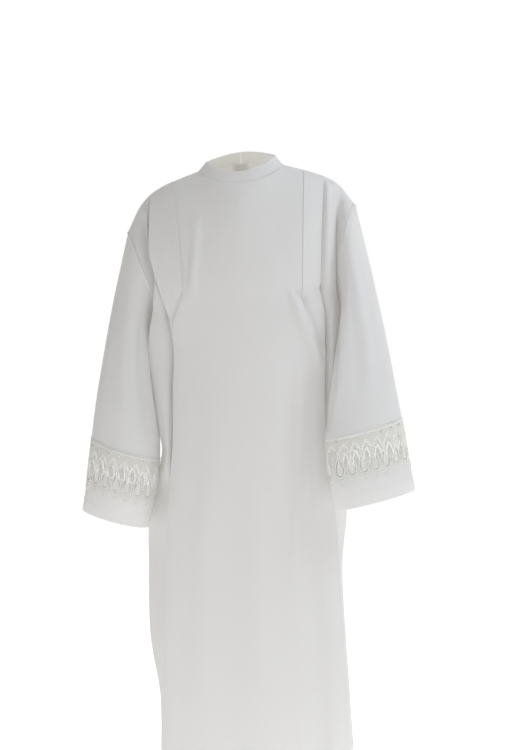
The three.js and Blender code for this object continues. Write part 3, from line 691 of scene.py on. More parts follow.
# ---- Materials ----
class Wire:
    """A shader socket that Python's own operators can be used on; each adds the Math node it stands for."""

    def __init__(self, shader, socket):
        self.shader, self.socket = shader, socket

    def __add__(self, other):
        return self.shader.node("ShaderNodeMath", {"operation": "ADD"}, {0: self, 1: other})

    __radd__ = __add__

    def __mul__(self, other):
        return self.shader.node("ShaderNodeMath", {"operation": "MULTIPLY"}, {0: self, 1: other})

    __rmul__ = __mul__


class Shader:
    """The nodes of one material, or of the world."""

    def __init__(self, owner):
        self.owner = owner
        self.owner.use_nodes = True
        self.tree = self.owner.node_tree
        self.tree.nodes.clear()

    def node(self, kind, settings=None, inputs=None, output=0):
        """A node of a type: its settings first, then each socket's value or link. It gives one output,
        by number or name, or none."""
        made = self.tree.nodes.new(kind)
        for key, value in (settings or {}).items():
            setattr(made, key, value)
        for key, value in (inputs or {}).items():
            if isinstance(value, Wire):
                self.tree.links.new(value.socket, made.inputs[key])
            else:
                made.inputs[key].default_value = value
        return None if output is None else Wire(self, made.outputs[output])

    def between(self, share, one, other):
        """A colour between two, by a share."""
        colours = {"Factor": share, 6: (*one, 1), 7: (*other, 1)}
        return self.node("ShaderNodeMix", {"data_type": "RGBA"}, colours, output=2)

    def finish(self, surface, kind="ShaderNodeOutputMaterial"):
        """Links the surface to the output, and gives the material or the world."""
        self.node(kind, {}, {"Surface": surface}, output=None)
        return self.owner


def woven(name, colour, warm, weave, through):
    """Plain-woven cloth: fine crossing threads and slubs as bump, faint unevenness of colour, a soft
    sheen, and some light let through. Its patterns lie on the flat cut, in metres."""
    s = Shader(bpy.data.materials.new(name))
    cut = s.node("ShaderNodeUVMap", {"uv_map": "cut"})
    threads = {"Vector": cut, "Scale": weave, "Distortion": 0.4, "Detail": 1.0}
    across, down = (
        s.node("ShaderNodeTexWave", {"bands_direction": way}, threads, output=1) for way in ("X", "Y")
    )
    slub = s.node("ShaderNodeTexNoise", {}, {"Vector": cut, "Scale": 900.0, "Detail": 3.0})
    pucker = s.node("ShaderNodeTexNoise", {}, {"Vector": cut, "Scale": 26.0, "Detail": 4.0})
    height = across * down + slub * 0.6 + pucker * 2.2
    cloud = s.node("ShaderNodeTexNoise", {}, {"Vector": cut, "Scale": 5.0, "Detail": 3.0})
    shade = s.between(cloud * 0.7 + slub * 0.3, colour, warm)
    bump = s.node("ShaderNodeBump", {}, {"Height": height, "Strength": 0.16, "Distance": 0.0006})
    skin = s.node("ShaderNodeBsdfPrincipled", {}, {
        "Base Color": shade, "Roughness": 0.72 + slub * 0.16, "Normal": bump,
        "Sheen Weight": 0.25, "Sheen Roughness": 0.4, "Specular IOR Level": 0.3,
    })
    glow = s.node("ShaderNodeBsdfTranslucent", {}, {"Color": (*GLOW, 1)})
    return s.finish(s.node("ShaderNodeMixShader", {}, {0: through, 1: skin, 2: glow}))


def twisted(name, colour, warm):
    """Lustrous twisted thread: a fine diagonal twist as bump, glossier than the cloth."""
    s = Shader(bpy.data.materials.new(name))
    place = s.node("ShaderNodeTexCoord", output="Object")
    twist = s.node("ShaderNodeTexWave", {"bands_direction": "DIAGONAL"},
                   {"Vector": place, "Scale": 900.0, "Distortion": 1.0}, output=1)
    cloud = s.node("ShaderNodeTexNoise", {}, {"Vector": place, "Scale": 60.0, "Detail": 2.0})
    bump = s.node("ShaderNodeBump", {}, {"Height": twist, "Strength": 0.3, "Distance": 0.0004})
    return s.finish(s.node("ShaderNodeBsdfPrincipled", {}, {
        "Base Color": s.between(cloud, colour, warm), "Roughness": 0.42 + cloud * 0.15, "Normal": bump,
        "Sheen Weight": 0.15, "Specular IOR Level": 0.5,
    }))


WHITE = (0.913, 0.926, 0.975)
WARM_WHITE = (0.91, 0.917, 0.95)
GLOW = (0.965, 0.95, 0.91)  # light that has passed through the cloth
CREAM = (0.845, 0.835, 0.795)
LACE_WHITE = (0.872, 0.865, 0.83)
cloth_finish = woven("cloth", WHITE, WARM_WHITE, weave=1100.0, through=0.5)
lace_ground_finish = woven("lace_ground", LACE_WHITE, CREAM, weave=1500.0, through=0.3)
cord_finish = twisted("lace_cord", (0.975, 0.973, 0.96), (0.96, 0.955, 0.935))
thread_finish = twisted("sewing_thread", (0.98, 0.978, 0.97), (0.96, 0.955, 0.94))


def dress(piece, material, slot_name, *replaced):
    """Gives a piece its material, the body it rides on and the nodes it replaces. The slot name passed in is
    not used.
    """
    piece.data.materials.append(material)
    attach(piece, "root")
    if replaced:
        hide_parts(*replaced)
    return piece


# ---- Tubes and stitches ----
def tube_arrays(paths, facings, radius, sides, flat=0.75):
    """Thread along paths of equal length, each a closed tube: a flattened ring of points about every
    path point, in the plane of the surface's facing and the crosswise direction, and a cap at each end."""
    paths, facings = np.asarray(paths, float), np.asarray(facings, float)
    count, steps, _ = paths.shape
    ahead = unit(np.gradient(paths, axis=1))
    cross = unit(np.cross(ahead, facings))
    turn = np.linspace(0, 2 * np.pi, sides, endpoint=False)
    spread = cross[:, :, None] * np.cos(turn)[:, None] + facings[:, :, None] * flat * np.sin(turn)[:, None]
    body = (paths[:, :, None] + spread * radius).reshape(count, steps * sides, 3)
    quads, _ = grid_faces(steps, sides, True, False)
    caps = np.array([(0, k, k + 1) for k in range(1, sides - 1)])
    last = caps[:, ::-1] + (steps - 1) * sides
    faces = np.concatenate([quads[:, [0, 1, 2]], quads[:, [0, 2, 3]], caps, last])
    faces = (faces[None] + (np.arange(count) * steps * sides)[:, None, None]).reshape(-1, 3)
    return body.reshape(-1, 3), faces


def joined(name, parts):
    """One mesh object from several sets of points and triangles."""
    starts = np.cumsum([0] + [len(points) for points, _ in parts[:-1]])
    points = np.concatenate([points for points, _ in parts])
    faces = np.concatenate([faces + start for (_, faces), start in zip(parts, starts)])
    return from_arrays(name, points, faces)


def stitch_row(line, facing, lift):
    """Short stitches laid one after another along a line on the cloth, spaced evenly by length: each a
    path of a few points, and the way the cloth faces at them."""
    step = np.linalg.norm(np.diff(line, axis=0), axis=1)
    run = np.concatenate([[0], step.cumsum()])
    starts = np.arange(STITCH["first"], run[-1] - STITCH["length"], STITCH["pitch"])
    places = starts[:, None] + np.linspace(0, STITCH["length"], len(STITCH["rise"]))
    path = np.stack([np.interp(places, run, line[:, k]) for k in range(3)], -1)
    out = unit(np.stack([np.interp(places, run, facing[:, k]) for k in range(3)], -1))
    rise = lift + STITCH["radius"] * np.array(STITCH["rise"])
    return path + out * rise[None, :, None], out


# ---- Stage, light and camera ----
# The camera: its lens and sensor in millimetres, its place in metres, how many degrees it looks down.
CAMERA = {"lens": 65.5, "sensor": 36, "place": (0.036, -3.0, -0.262), "looks_down": 3.68}
FLOOR = {"half": 9000, "height": -1562, "glow": 0.74}
# The world: how its brightness rises by the way looked in, the least it has, and its colours ahead and
# behind, one turning into the other between two shares.
WORLD = {
    "rise": (0.075, 0.15, 0.09), "least": 0.3, "warm_from": -0.3, "warm_to": 0.6,
    "ahead": (0.985, 0.99, 1), "behind": (1, 0.935, 0.81),
}
# Round lamps that all point at the middle of the garment: place and size in metres, power in watts.
AIM = (0, 0, -0.45)
LAMP_COLUMNS = ["name", "place", "size", "power", "colour"]
LAMPS = [
    ["front_light", (-0.2, -3.4, 0.2), 1.6, 15, (0.97, 0.98, 1.0)],
    ["side_light", (2.4, -0.5, 1.3), 1.2, 25, (0.84, 0.92, 1.0)],
    ["back_light", (-0.9, 2.5, 0.3), 2.2, 17, (1.0, 0.92, 0.77)],
    ["far_light", (1.2, 2.3, 0.1), 1.8, 11, (1.0, 0.9, 0.73)],
    ["top_light", (0.7, 0.1, 2.2), 2.0, 18, (0.9, 0.95, 1.0)],
]


def make_camera():
    lens = bpy.data.cameras.new("camera")
    lens.lens = CAMERA["lens"]
    lens.sensor_width = CAMERA["sensor"]
    camera = bpy.data.objects.new("camera", lens)
    camera.location = CAMERA["place"]
    camera.rotation_euler = (math.radians(90 - CAMERA["looks_down"]), 0, 0)
    bpy.context.scene.collection.objects.link(camera)
    bpy.context.scene.camera = camera


def make_floor():
    """A wide pale floor below the hem, that glows a little so that it stays as white as the backdrop."""
    signs = np.array([[-1, -1], [1, -1], [1, 1], [-1, 1]])
    corners = np.column_stack([signs * FLOOR["half"], np.full(len(signs), FLOOR["height"])])
    floor = from_arrays("floor", corners, np.array([[0, 1, 2, 3]]))
    s = Shader(bpy.data.materials.new("pale_floor"))
    floor.data.materials.append(s.finish(s.node("ShaderNodeBsdfPrincipled", {}, {
        "Base Color": (0.94, 0.94, 0.94, 1), "Roughness": 0.9,
        "Emission Color": (1, 1, 1, 1), "Emission Strength": FLOOR["glow"],
    })))


def make_world():
    """White surroundings, a little brighter behind and above and warmer behind; seen plain white."""
    s = Shader(bpy.data.worlds.new("studio"))
    way = s.node("ShaderNodeTexCoord", output="Generated")
    rise = s.node("ShaderNodeVectorMath", {"operation": "DOT_PRODUCT"}, {0: way, 1: WORLD["rise"]}, "Value")
    behind = s.node("ShaderNodeSeparateXYZ", {}, {0: way}, "Y")
    share = s.node("ShaderNodeMapRange", {}, {
        "Value": behind, "From Min": WORLD["warm_from"], "From Max": WORLD["warm_to"],
    })
    tint = s.between(share, WORLD["ahead"], WORLD["behind"])
    around = s.node("ShaderNodeBackground", {}, {"Color": tint, "Strength": rise + WORLD["least"]})
    seen = s.node("ShaderNodeBackground", {}, {"Color": (1, 1, 1, 1), "Strength": 1.0})
    is_seen = s.node("ShaderNodeLightPath", output="Is Camera Ray")
    both = s.node("ShaderNodeMixShader", {}, {0: is_seen, 1: around, 2: seen})
    bpy.context.scene.world = s.finish(both, "ShaderNodeOutputWorld")


def make_lamps():
    """Large soft lamps: a neutral one in front, cool ones from the wearer's left and from above, and two
    warm ones behind."""
    for row in LAMPS:
        made = named(LAMP_COLUMNS, row)
        lamp = bpy.data.lights.new(made["name"], "AREA")
        lamp.shape = "DISK"
        lamp.size, lamp.energy, lamp.color = made["size"], made["power"], made["colour"]
        light = bpy.data.objects.new(made["name"], lamp)
        light.location = made["place"]
        way = np.array(AIM) - np.array(made["place"])
        yaw = math.atan2(way[1], way[0]) - math.pi / 2
        tip = math.atan2(math.hypot(way[0], way[1]), -way[2])
        light.rotation_euler = (tip, 0, yaw)
        bpy.context.scene.collection.objects.link(light)


make_camera()
make_floor()
make_world()
make_lamps()
bpy.context.scene.view_settings.view_transform = "Standard"

# ---- Front and back ----
panels = {}
for face in ("front", "back"):
    grid = panel(face)
    piece = cloth_piece(face + "_cloth", grid, turned=face == "back")
    panels[face] = (grid, dress(piece, cloth_finish, "cloth", *(f"{face}_{part}" for part in PANEL_PARTS)))

# ---- Sleeves and cuffs ----
AROUND = 132  # points round a sleeve, shared out evenly at one height
EVEN_AT = 0.6
SLEEVE_ROWS = np.concatenate([[0, 0.0025, 0.005, 0.008, 0.012], np.linspace(0.018, SLEEVE_END, 112)])
# The cuff's hem is a little thicker: where it begins, over how long, and where it is stitched.
CUFF_HEM = {"at": 0.9625, "over": 0.003, "out": 0.25, "sewn": 0.9655, "lift": 0.5}
CUFF_ROWS = np.concatenate([
    np.linspace(CUFF_SPAN["from"], 0.962, 12), [0.9645, 0.967, 0.97], np.linspace(0.975, CUFF_SPAN["to"], 8),
])

# Soft folds down a sleeve: the angle where each starts and ends, its width round the sleeve, how far it
# stands out (or in), and between which ring heights.
SLEEVE_FOLD_COLUMNS = ["start", "end", "wide", "out", "from", "to"]
SLEEVE_FOLDS = {
    "right": [
        [1.25, 1.55, 0.24, 2.6, 0.16, 0.72], [2.05, 2.3, 0.2, -3.0, 0.06, 0.76],
        [2.55, 2.72, 0.17, 3.0, 0.14, 0.77], [0.62, 0.75, 0.3, 1.8, 0.3, 0.75],
        [2.95, 3.1, 0.14, -2.4, 0.1, 0.7], [4.0, 4.25, 0.25, -3.0, 0.1, 0.76],
        [4.9, 4.8, 0.3, 2.6, 0.2, 0.72], [5.6, 5.5, 0.2, -2.0, 0.3, 0.77],
    ],
    "left": [
        [1.15, 1.35, 0.2, 2.4, 0.05, 0.7], [1.6, 1.75, 0.24, -2.2, 0.12, 0.72],
        [2.2, 2.45, 0.2, 2.8, 0.14, 0.76], [2.55, 2.75, 0.15, -3.4, 0.05, 0.74],
        [3.14, 3.14, 0.3, 2.2, -0.1, 0.45], [0.45, 0.6, 0.26, 1.6, 0.1, 0.75],
        [3.9, 4.1, 0.25, 2.8, 0.1, 0.74], [4.7, 4.6, 0.26, -2.6, 0.2, 0.76],
        [5.5, 5.4, 0.2, 2.0, 0.16, 0.72],
    ],
}
SLEEVE_DEPTH = 1.45  # all the folds, deeper than in the table by this
# How such a fold sways on its way down, and over what share it fades from just past both its ends.
SLEEVE_SWAY = {"by": 0.05, "beat": 5, "past": 0.02, "fade": 0.35}
SLEEVE_LENGTH = 700
# The rolled seam at the armhole: how far it stands out, how far down, how broad; and the sunk line.
ROLL = {"out": 1.6, "at": 5, "broad": 3.5, "sunk": 1.0, "line": 2}
# The gathers over a sleeve's head: how high, about which angle, how far round and down they reach, how
# many would go all round, how unevenly they lie, and over what length they begin.
GATHER_HEIGHT = {"right": 0.5, "left": 2.6}
GATHER = {"about": 0.15, "round": 0.75, "down": 34, "count": 36, "uneven": 2, "beat": 3, "begins": 5}


def even_angles(side_name, count, down):
    """Angles that share out a ring's length evenly, from the outer side round."""
    angle = np.linspace(0, 2 * np.pi, 721)
    ring = ring_points(side_name, down, angle)
    run = np.concatenate([[0], np.linalg.norm(np.diff(ring, axis=0), axis=1).cumsum()])
    return np.interp(np.linspace(0, run[-1], count, endpoint=False), run, angle)


def turn_from(angle, at):
    """The shorter way round from one angle to another."""
    return (angle - at + np.pi) % (2 * np.pi) - np.pi


def sleeve_relief(side_name, down, angle):
    """How far the sleeve's cloth stands out: the rolled seam at the armhole, small gathers over its
    head, and the soft folds, each a bell across and faded at both ends."""
    from_seam = down * SLEEVE_LENGTH
    out = ROLL["out"] * np.exp(-(((from_seam - ROLL["at"]) / ROLL["broad"]) ** 2))
    out = out - ROLL["sunk"] * np.exp(-((from_seam / ROLL["line"]) ** 2))
    head = np.exp(-((turn_from(angle, GATHER["about"]) / GATHER["round"]) ** 2))
    head = head * np.exp(-((from_seam / GATHER["down"]) ** 2))
    ripple = np.cos(GATHER["count"] * angle + GATHER["uneven"] * np.sin(GATHER["beat"] * angle))
    out = out + GATHER_HEIGHT[side_name] * head * ripple * smooth(from_seam / GATHER["begins"])
    for row in SLEEVE_FOLDS[side_name]:
        fold = named(SLEEVE_FOLD_COLUMNS, row)
        along = (down - fold["from"]) / (fold["to"] - fold["from"])
        sway = SLEEVE_SWAY["by"] * np.sin(SLEEVE_SWAY["beat"] * along + fold["start"])
        centre = mix(fold["start"], fold["end"], along) + sway
        fade = smooth((along + SLEEVE_SWAY["past"]) / SLEEVE_SWAY["fade"])
        fade = fade * smooth((1 + SLEEVE_SWAY["past"] - along) / SLEEVE_SWAY["fade"])
        bell = np.exp(-((turn_from(angle, centre) / fold["wide"]) ** 2))
        out = out + SLEEVE_DEPTH * fold["out"] * fade * bell
    return out


def sleeve_facing(side_name, down, angle):
    """The way a sleeve faces, from small steps round it and along it."""
    step = 0.004
    around = ring_points(side_name, down, angle + step) - ring_points(side_name, down, angle - step)
    along = ring_points(side_name, down + step, angle) - ring_points(side_name, down - step, angle)
    return unit(np.cross(around, along)) * (1 if side_name == "left" else -1)


def sleeve_points(side_name, downs, angle, lift=0.0):
    """Points of a band of a sleeve, with its relief, and the way it faces there."""
    down, angle = np.broadcast_arrays(np.asarray(downs, float)[:, None], np.asarray(angle)[None, :])
    facing = sleeve_facing(side_name, down, angle)
    out = (sleeve_relief(side_name, down, angle) + lift)[..., None]
    return ring_points(side_name, down, angle) + facing * out, facing


cloths = {}
sewn = {}  # rows of stitches by the piece that they hold


def sew(name, line, facing, lift=STITCH["lift"]):
    sewn.setdefault(name, []).append(stitch_row(line, facing, lift))


def sew_round(name, side_name, down, angle, lift):
    """A row of stitches round a sleeve at one height."""
    line, facing = sleeve_points(side_name, [down], angle, lift)
    sew(name, line[0], facing[0])


for name in ("right", "left"):
    turned = name == "left"
    angle = even_angles(name, AROUND, EVEN_AT)
    grid, _ = sleeve_points(name, SLEEVE_ROWS, angle)
    cloths["sleeve_" + name] = cloth_piece("sleeve_" + name + "_cloth", grid, True, turned)
    grid, facing = sleeve_points(name, CUFF_ROWS, angle)
    hem = smooth((CUFF_ROWS - CUFF_HEM["at"]) / CUFF_HEM["over"])[:, None, None] * CUFF_HEM["out"]
    cloths["cuff_" + name] = cloth_piece("cuff_" + name + "_cloth", grid + facing * hem, True, turned)
    all_round = np.append(angle, angle[0] + 2 * np.pi)
    sew_round("cuff_" + name, name, CUFF_HEM["sewn"], all_round, CUFF_HEM["lift"])

for name, piece in cloths.items():
    nodes = [f"{name}_{part}" for part in SLEEVE_PARTS] if name.startswith("sleeve") else [name]
    dress(piece, cloth_finish, "cloth", *nodes)


# ---- Lace ----
# One repeat, in millimetres: u runs across from the middle of a drop, v from the middle of an arch,
# and y down from the sewn edge.
DROP = {
    "top": 43.0, "bottom": 86.0, "half": 13.2, "point": 1.2, "leaf": 0.6, "leaf_at": 73.0,
    "open_from": 50.0, "rim": 1.1, "leaf_rim": 0.2, "no_leaf": -2.0,
}
ARCH = {"top": 20.0, "foot": 41.0, "bend": 1.5, "slit": 1.1, "inner": 3.4, "net": 7.0, "reach": 9.8}
SPIKES = {"aims": (-0.3, 0.0, 0.3), "long": 12.0, "half": 1.25, "rooted": 1}
NET = {"to": 67.0, "pitch": 3.3, "slope": 0.85}
BORDER = {"valley": 91.5, "tip": 107.4, "bend": 1.12, "picot": 0.7, "picots": 5}
DOTS = {"apart": 5, "down": 2.5, "radius": 0.95}
# Round holes: across and down, their radius, and whether across is counted from a drop's middle.
LACE_HOLES = [
    (-2.6, 9.8, 1.75, True), (2.6, 9.8, 1.75, True), (0, 14.2, 1.4, True),
    (0, 72.5, 1.4, False), (0, 78.5, 1.5, False), (-2.2, 43.0, 0.8, True), (2.2, 43.0, 0.8, True),
]


def drop_half(y):
    """Half the width of a drop at a height: a circle's sine, narrowed towards its pointed top."""
    middle, half = (DROP["top"] + DROP["bottom"]) / 2, (DROP["bottom"] - DROP["top"]) / 2
    theta = np.arccos(np.clip((middle - y) / half, -1, 1))
    return DROP["half"] * np.sin(theta) * np.sin(theta / 2) ** DROP["point"]


def leaf_half(y):
    """Half the width of the leaf that fills a drop, the drop's own shape made smaller; above and below
    the leaf it is less than nothing."""
    full = DROP["leaf_at"] + (y - DROP["leaf_at"]) / DROP["leaf"]
    is_leaf = (full > DROP["top"]) & (full < DROP["bottom"])
    return np.where(is_leaf, DROP["leaf"] * drop_half(full), DROP["no_leaf"])


def arch_line(v):
    """The height of an arch's cord: pointed at its top and falling to its feet."""
    share = np.abs(v) / (LACE["wide"] / 2)
    return ARCH["top"] + (ARCH["foot"] - ARCH["top"]) * share ** ARCH["bend"]


def under_arch(v, y):
    """How far below an arch's cord a place is, square to the cord."""
    half = LACE["wide"] / 2
    slope = (ARCH["foot"] - ARCH["top"]) * ARCH["bend"] / half * (np.abs(v) / half) ** (ARCH["bend"] - 1)
    return (y - arch_line(v)) / np.hypot(1, slope)


def lower_edge(u):
    """The pointed lower edge, with small picots along it."""
    share = 1 - np.abs(u) / (LACE["wide"] / 2)
    edge = BORDER["valley"] + (BORDER["tip"] - BORDER["valley"]) * share ** BORDER["bend"]
    return edge - BORDER["picot"] * np.abs(np.cos(np.pi * BORDER["picots"] * share))


def from_drop(x):
    return (x / LACE["wide"] + 0.5) % 1 * LACE["wide"] - LACE["wide"] / 2


def from_arch(x):
    return (x / LACE["wide"]) % 1 * LACE["wide"] - LACE["wide"] / 2


def in_net(x, y):
    """How far inside the netted part a place is: under the inner arch and its hanging spikes, between
    two drops."""
    u, v = from_drop(x), from_arch(x)
    inside = np.minimum(under_arch(v, y) - ARCH["net"], np.abs(u) - drop_half(y) - DROP["rim"])
    inside = np.minimum(inside, NET["to"] - y)
    top = ARCH["top"] + ARCH["net"]
    for aim in SPIKES["aims"]:
        along = y - top + SPIKES["rooted"]
        wide = SPIKES["half"] * (1 - along / SPIKES["long"])
        inside = np.minimum(inside, np.maximum(np.abs(v - aim * along) - wide, along - SPIKES["long"]))
    return inside


def lace_ground(x, y):
    """How far inside the solid ground a place is; below zero it is open. The ground runs down to the
    pointed edge. It is open along a slit under each arch, where it is netted, in a crescent on either
    side of the leaf in each drop, in a few round holes, and in a row of dots at its top."""
    u, v = from_drop(x), from_arch(x)
    depth = under_arch(v, y)
    slit = np.minimum(np.minimum(depth - ARCH["slit"], ARCH["inner"] - depth), ARCH["reach"] - np.abs(v))
    crescent = drop_half(y) - DROP["rim"] - np.abs(u)
    crescent = np.minimum(crescent, np.abs(u) - leaf_half(y) - DROP["leaf_rim"])
    crescent = np.minimum(crescent, (y - DROP["open_from"]) / 2)
    from_dot = (x / DOTS["apart"]) % 1 * DOTS["apart"] - DOTS["apart"] / 2
    dots = DOTS["radius"] - np.hypot(from_dot, y - DOTS["down"])
    open_by = np.maximum(np.maximum(slit, crescent), np.maximum(in_net(x, y), dots))
    for across, down, radius, at_drop in LACE_HOLES:
        open_by = np.maximum(open_by, radius - np.hypot((u if at_drop else v) - across, y - down))
    return np.minimum(-open_by, lower_edge(u) - y)


def on_lace(side_name, x, y, lift):
    """Places of the lace's chart on the sleeve, and the way that the lace faces there."""
    steps = np.append(even_angles(side_name, LACE["steps"], LACE["even_at"]), 2 * np.pi)
    angle = np.interp(np.asarray(x) / BAND % 1, np.linspace(0, 1, LACE["steps"] + 1), steps)
    down = mix(LACE_SPAN["from"], LACE_SPAN["to"], np.asarray(y) / LACE["tall"])
    down, angle = np.broadcast_arrays(down, angle)
    facing = sleeve_facing(side_name, down, angle)
    return ring_points(side_name, down, angle) + facing * np.asarray(lift)[..., None], facing


# How the ground's grid is fitted to the chart's edges: in how many passes, by slopes measured over a
# small step, for points this near (in cells), moved this far at most; and the flattest slope trusted.
FIT = {"passes": 2, "small": 0.05, "near": 0.62, "reach": 0.3, "flattest": 0.25}


def lace_cloth(side_name):
    """The ground of a band of lace: a fine grid whose points near an edge of the chart are moved onto
    that edge, kept where the middle of a cell is solid."""
    columns = round(BAND / LACE["cell"])
    rows = round(LACE["tall"] / LACE["cell"])
    x = np.arange(columns)[None, :] * LACE["cell"] + np.zeros((rows + 1, 1))
    y = np.arange(rows + 1)[:, None] * LACE["cell"] + np.zeros((1, columns))
    small, reach = FIT["small"], FIT["reach"] * LACE["cell"]
    for _ in range(FIT["passes"]):
        inside = lace_ground(x, y)
        slope_x = (lace_ground(x + small, y) - lace_ground(x - small, y)) / (2 * small)
        slope_y = (lace_ground(x, y + small) - lace_ground(x, y - small)) / (2 * small)
        pull = -inside / np.maximum(slope_x**2 + slope_y**2, FIT["flattest"])
        pull = np.where(np.abs(inside) < FIT["near"] * LACE["cell"], pull, 0)
        x = x + np.clip(pull * slope_x, -reach, reach)
        y = np.clip(y + np.clip(pull * slope_y, -reach, reach), 0, LACE["tall"])
    faces, spread = grid_faces(rows + 1, columns, True, side_name == "left")
    wide_x = np.concatenate([x, x[:, :1] + BAND], 1)
    wide_y = np.concatenate([y, y[:, :1]], 1)
    kept = lace_ground(wide_x.ravel()[spread].mean(1), wide_y.ravel()[spread].mean(1)) > 0
    used, inverse = np.unique(faces[kept], return_inverse=True)
    grid, _ = on_lace(side_name, x, y, np.full(x.shape, LACE["lift"]))
    points = grid.reshape(-1, 3)[used]
    uv = (np.stack([wide_x, wide_y], -1).reshape(-1, 2) * MM)[spread[kept].ravel()]
    piece = from_arrays("lace_" + side_name + "_ground", points, inverse.reshape(-1, 4), uv)
    solid = piece.modifiers.new("thickness", "SOLIDIFY")
    solid.thickness, solid.offset = LACE["thick"] * MM, 1
    return piece


# The cords of each thickness: radius, sides, and how high they lie in the ground's thickness.
CORD_COLUMNS = ["radius", "sides", "high"]
CORDS = {"bold": [1.05, 5, 1], "fine": [0.62, 5, 1], "bars": [0.45, 5, 0.5], "net": [0.5, 4, 0.5]}
# Bowls under a drop: how far below it, and how late they turn up; they rise and stay clear of the edge.
BOWLS = {"each": ((5.6, 2.2), (10.0, 1.5)), "rise": 7, "clear": 1.5}
EDGE_CORDS = (0.5, 3.4)  # how far two fine cords lie inside the pointed edge
RIBS = {"top": 52.0, "wide": 5.6, "asides": (-0.45, 0.0, 0.45)}  # three veins of a leaf
TIES = [((-1.6, 11.5), (1.6, 11.5)), ((0, 8.2), (0, 11.5))]  # bars between the three holes at the top
# Bars across a slit, by their first and last points and their number, and those beside a leaf.
BARS = {"first": 3, "last": 25, "count": 10, "at_leaf": (10, 11, 12, 16, 17, 18)}
# The net's threads: from how far under the arch's top and to how far past the netted part they are
# followed, how far either way and at which height they start, and how far they run over its rim; a run
# of no more than the least number of steps is left out.
THREADS = {"from": 4, "past": 1, "half": 30, "level": 45, "steps": 160, "over": 0.5, "least": 3}
CORD_POINTS = 4  # along a bar or a thread
# Cords along the top: how far down, how they wave, how many waves to a repeat, and their radius.
HEADING_COLUMNS = ["down", "swing", "beat", "radius"]
HEADING = [[0.6, 0.0, 1, 0.75], [4.6, 0.0, 1, 0.75], [6.6, 0.35, 10, 0.5]]
# Their sides, their points to a repeat, and what is left open where such a cord meets itself.
HEADING_CORD = {"sides": 5, "steps": 48, "gap": 0.02}


def chart_lines():
    """Lines of one repeat, as (x, y) with x from the middle of a drop: the pointed arch, the drop, the
    leaf in it, and the arch's slit along its upper and its lower side."""
    half = LACE["wide"] / 2
    t = np.linspace(0, 1, 29)
    side = (2 * t - 1) * half
    turn = 2 * np.pi * t
    middle, tall = (DROP["top"] + DROP["bottom"]) / 2, (DROP["bottom"] - DROP["top"]) / 2
    wave = np.abs(np.sin(turn / 2)) ** DROP["point"]
    drop = np.stack([DROP["half"] * np.sin(turn) * wave, middle - tall * np.cos(turn)], -1)
    inner = side * ARCH["reach"] / half
    slope = np.gradient(arch_line(inner), inner)
    aside = inner - slope / np.hypot(1, slope) * ARCH["inner"]
    return {
        "t": t,
        "side": side,
        "arch": np.stack([side + half, arch_line(side)], -1),
        "drop": drop,
        "leaf": np.array([0, DROP["leaf_at"]]) + (drop - [0, DROP["leaf_at"]]) * DROP["leaf"],
        "over": np.stack([inner + half, arch_line(inner)], -1),
        "under": np.stack([aside + half, arch_line(inner) + ARCH["inner"] / np.hypot(1, slope)], -1),
    }


def bold_cords(lines):
    """Along the arch, round the drop, and two bowls under it."""
    side = lines["side"]
    cords = [lines["arch"], lines["drop"]]
    for below, bend in BOWLS["each"]:
        risen = (below + BOWLS["rise"]) * (np.abs(side) / (LACE["wide"] / 2)) ** bend
        bowl = DROP["bottom"] + below - risen
        cords.append(np.stack([side, np.minimum(bowl, lower_edge(side) - BOWLS["clear"])], -1))
    return cords


def fine_cords(lines):
    """Round the leaf, along the lower edge and under the arch, and the leaf's three veins."""
    side, leaf = lines["side"], lines["leaf"]
    cords = [leaf]
    cords += [np.stack([side, lower_edge(side) - inside], -1) for inside in EDGE_CORDS]
    cords.append(lines["under"])
    foot = leaf[len(leaf) // 2]
    for aside in RIBS["asides"]:
        rib = foot + (np.array([0, RIBS["top"]]) - foot) * lines["t"][:, None]
        bow = aside * RIBS["wide"] * np.sin(np.pi * lines["t"])
        cords.append(rib + np.stack([bow, 0 * bow], -1))
    return cords


def bars(lines):
    """Short straight bars: at the top, across the slit under the arch, and from drop to leaf."""
    picked = np.linspace(BARS["first"], BARS["last"], BARS["count"]).round().astype(int)
    ends = list(TIES)
    ends += [(lines["over"][k], lines["under"][k]) for k in picked]
    ends += [(lines["drop"][k], lines["leaf"][k]) for k in BARS["at_leaf"]]
    share = np.linspace(0, 1, CORD_POINTS)[:, None]
    return [np.array(a) * (1 - share) + np.array(b) * share for a, b in ends]


def net_threads():
    """Two families of slanting threads, kept where they run through the netted part of the chart."""
    half = LACE["wide"] / 2
    y = np.linspace(ARCH["top"] + THREADS["from"], NET["to"] + THREADS["past"], THREADS["steps"])
    starts = np.arange(-THREADS["half"], THREADS["half"], NET["pitch"] * np.hypot(1, NET["slope"]))
    threads = []
    for slope in (-NET["slope"], NET["slope"]):
        for start in starts:
            v = start + (y - THREADS["level"]) * slope
            inside = (in_net(v + half, y) > -THREADS["over"]) & (np.abs(v) <= half)
            for run in np.split(np.arange(len(y)), np.nonzero(np.diff(inside.astype(int)))[0] + 1):
                if inside[run[0]] and len(run) > THREADS["least"]:
                    picked = run[np.linspace(0, len(run) - 1, CORD_POINTS).round().astype(int)]
                    threads.append(np.stack([v[picked] + half, y[picked]], -1))
    return threads


def repeated(paths):
    """The same paths in every repeat round the sleeve."""
    paths = np.stack(paths)
    shift = np.arange(LACE["repeats"])[:, None, None, None] * np.array([LACE["wide"], 0.0])
    return (paths[None] + shift).reshape(-1, *paths.shape[1:])


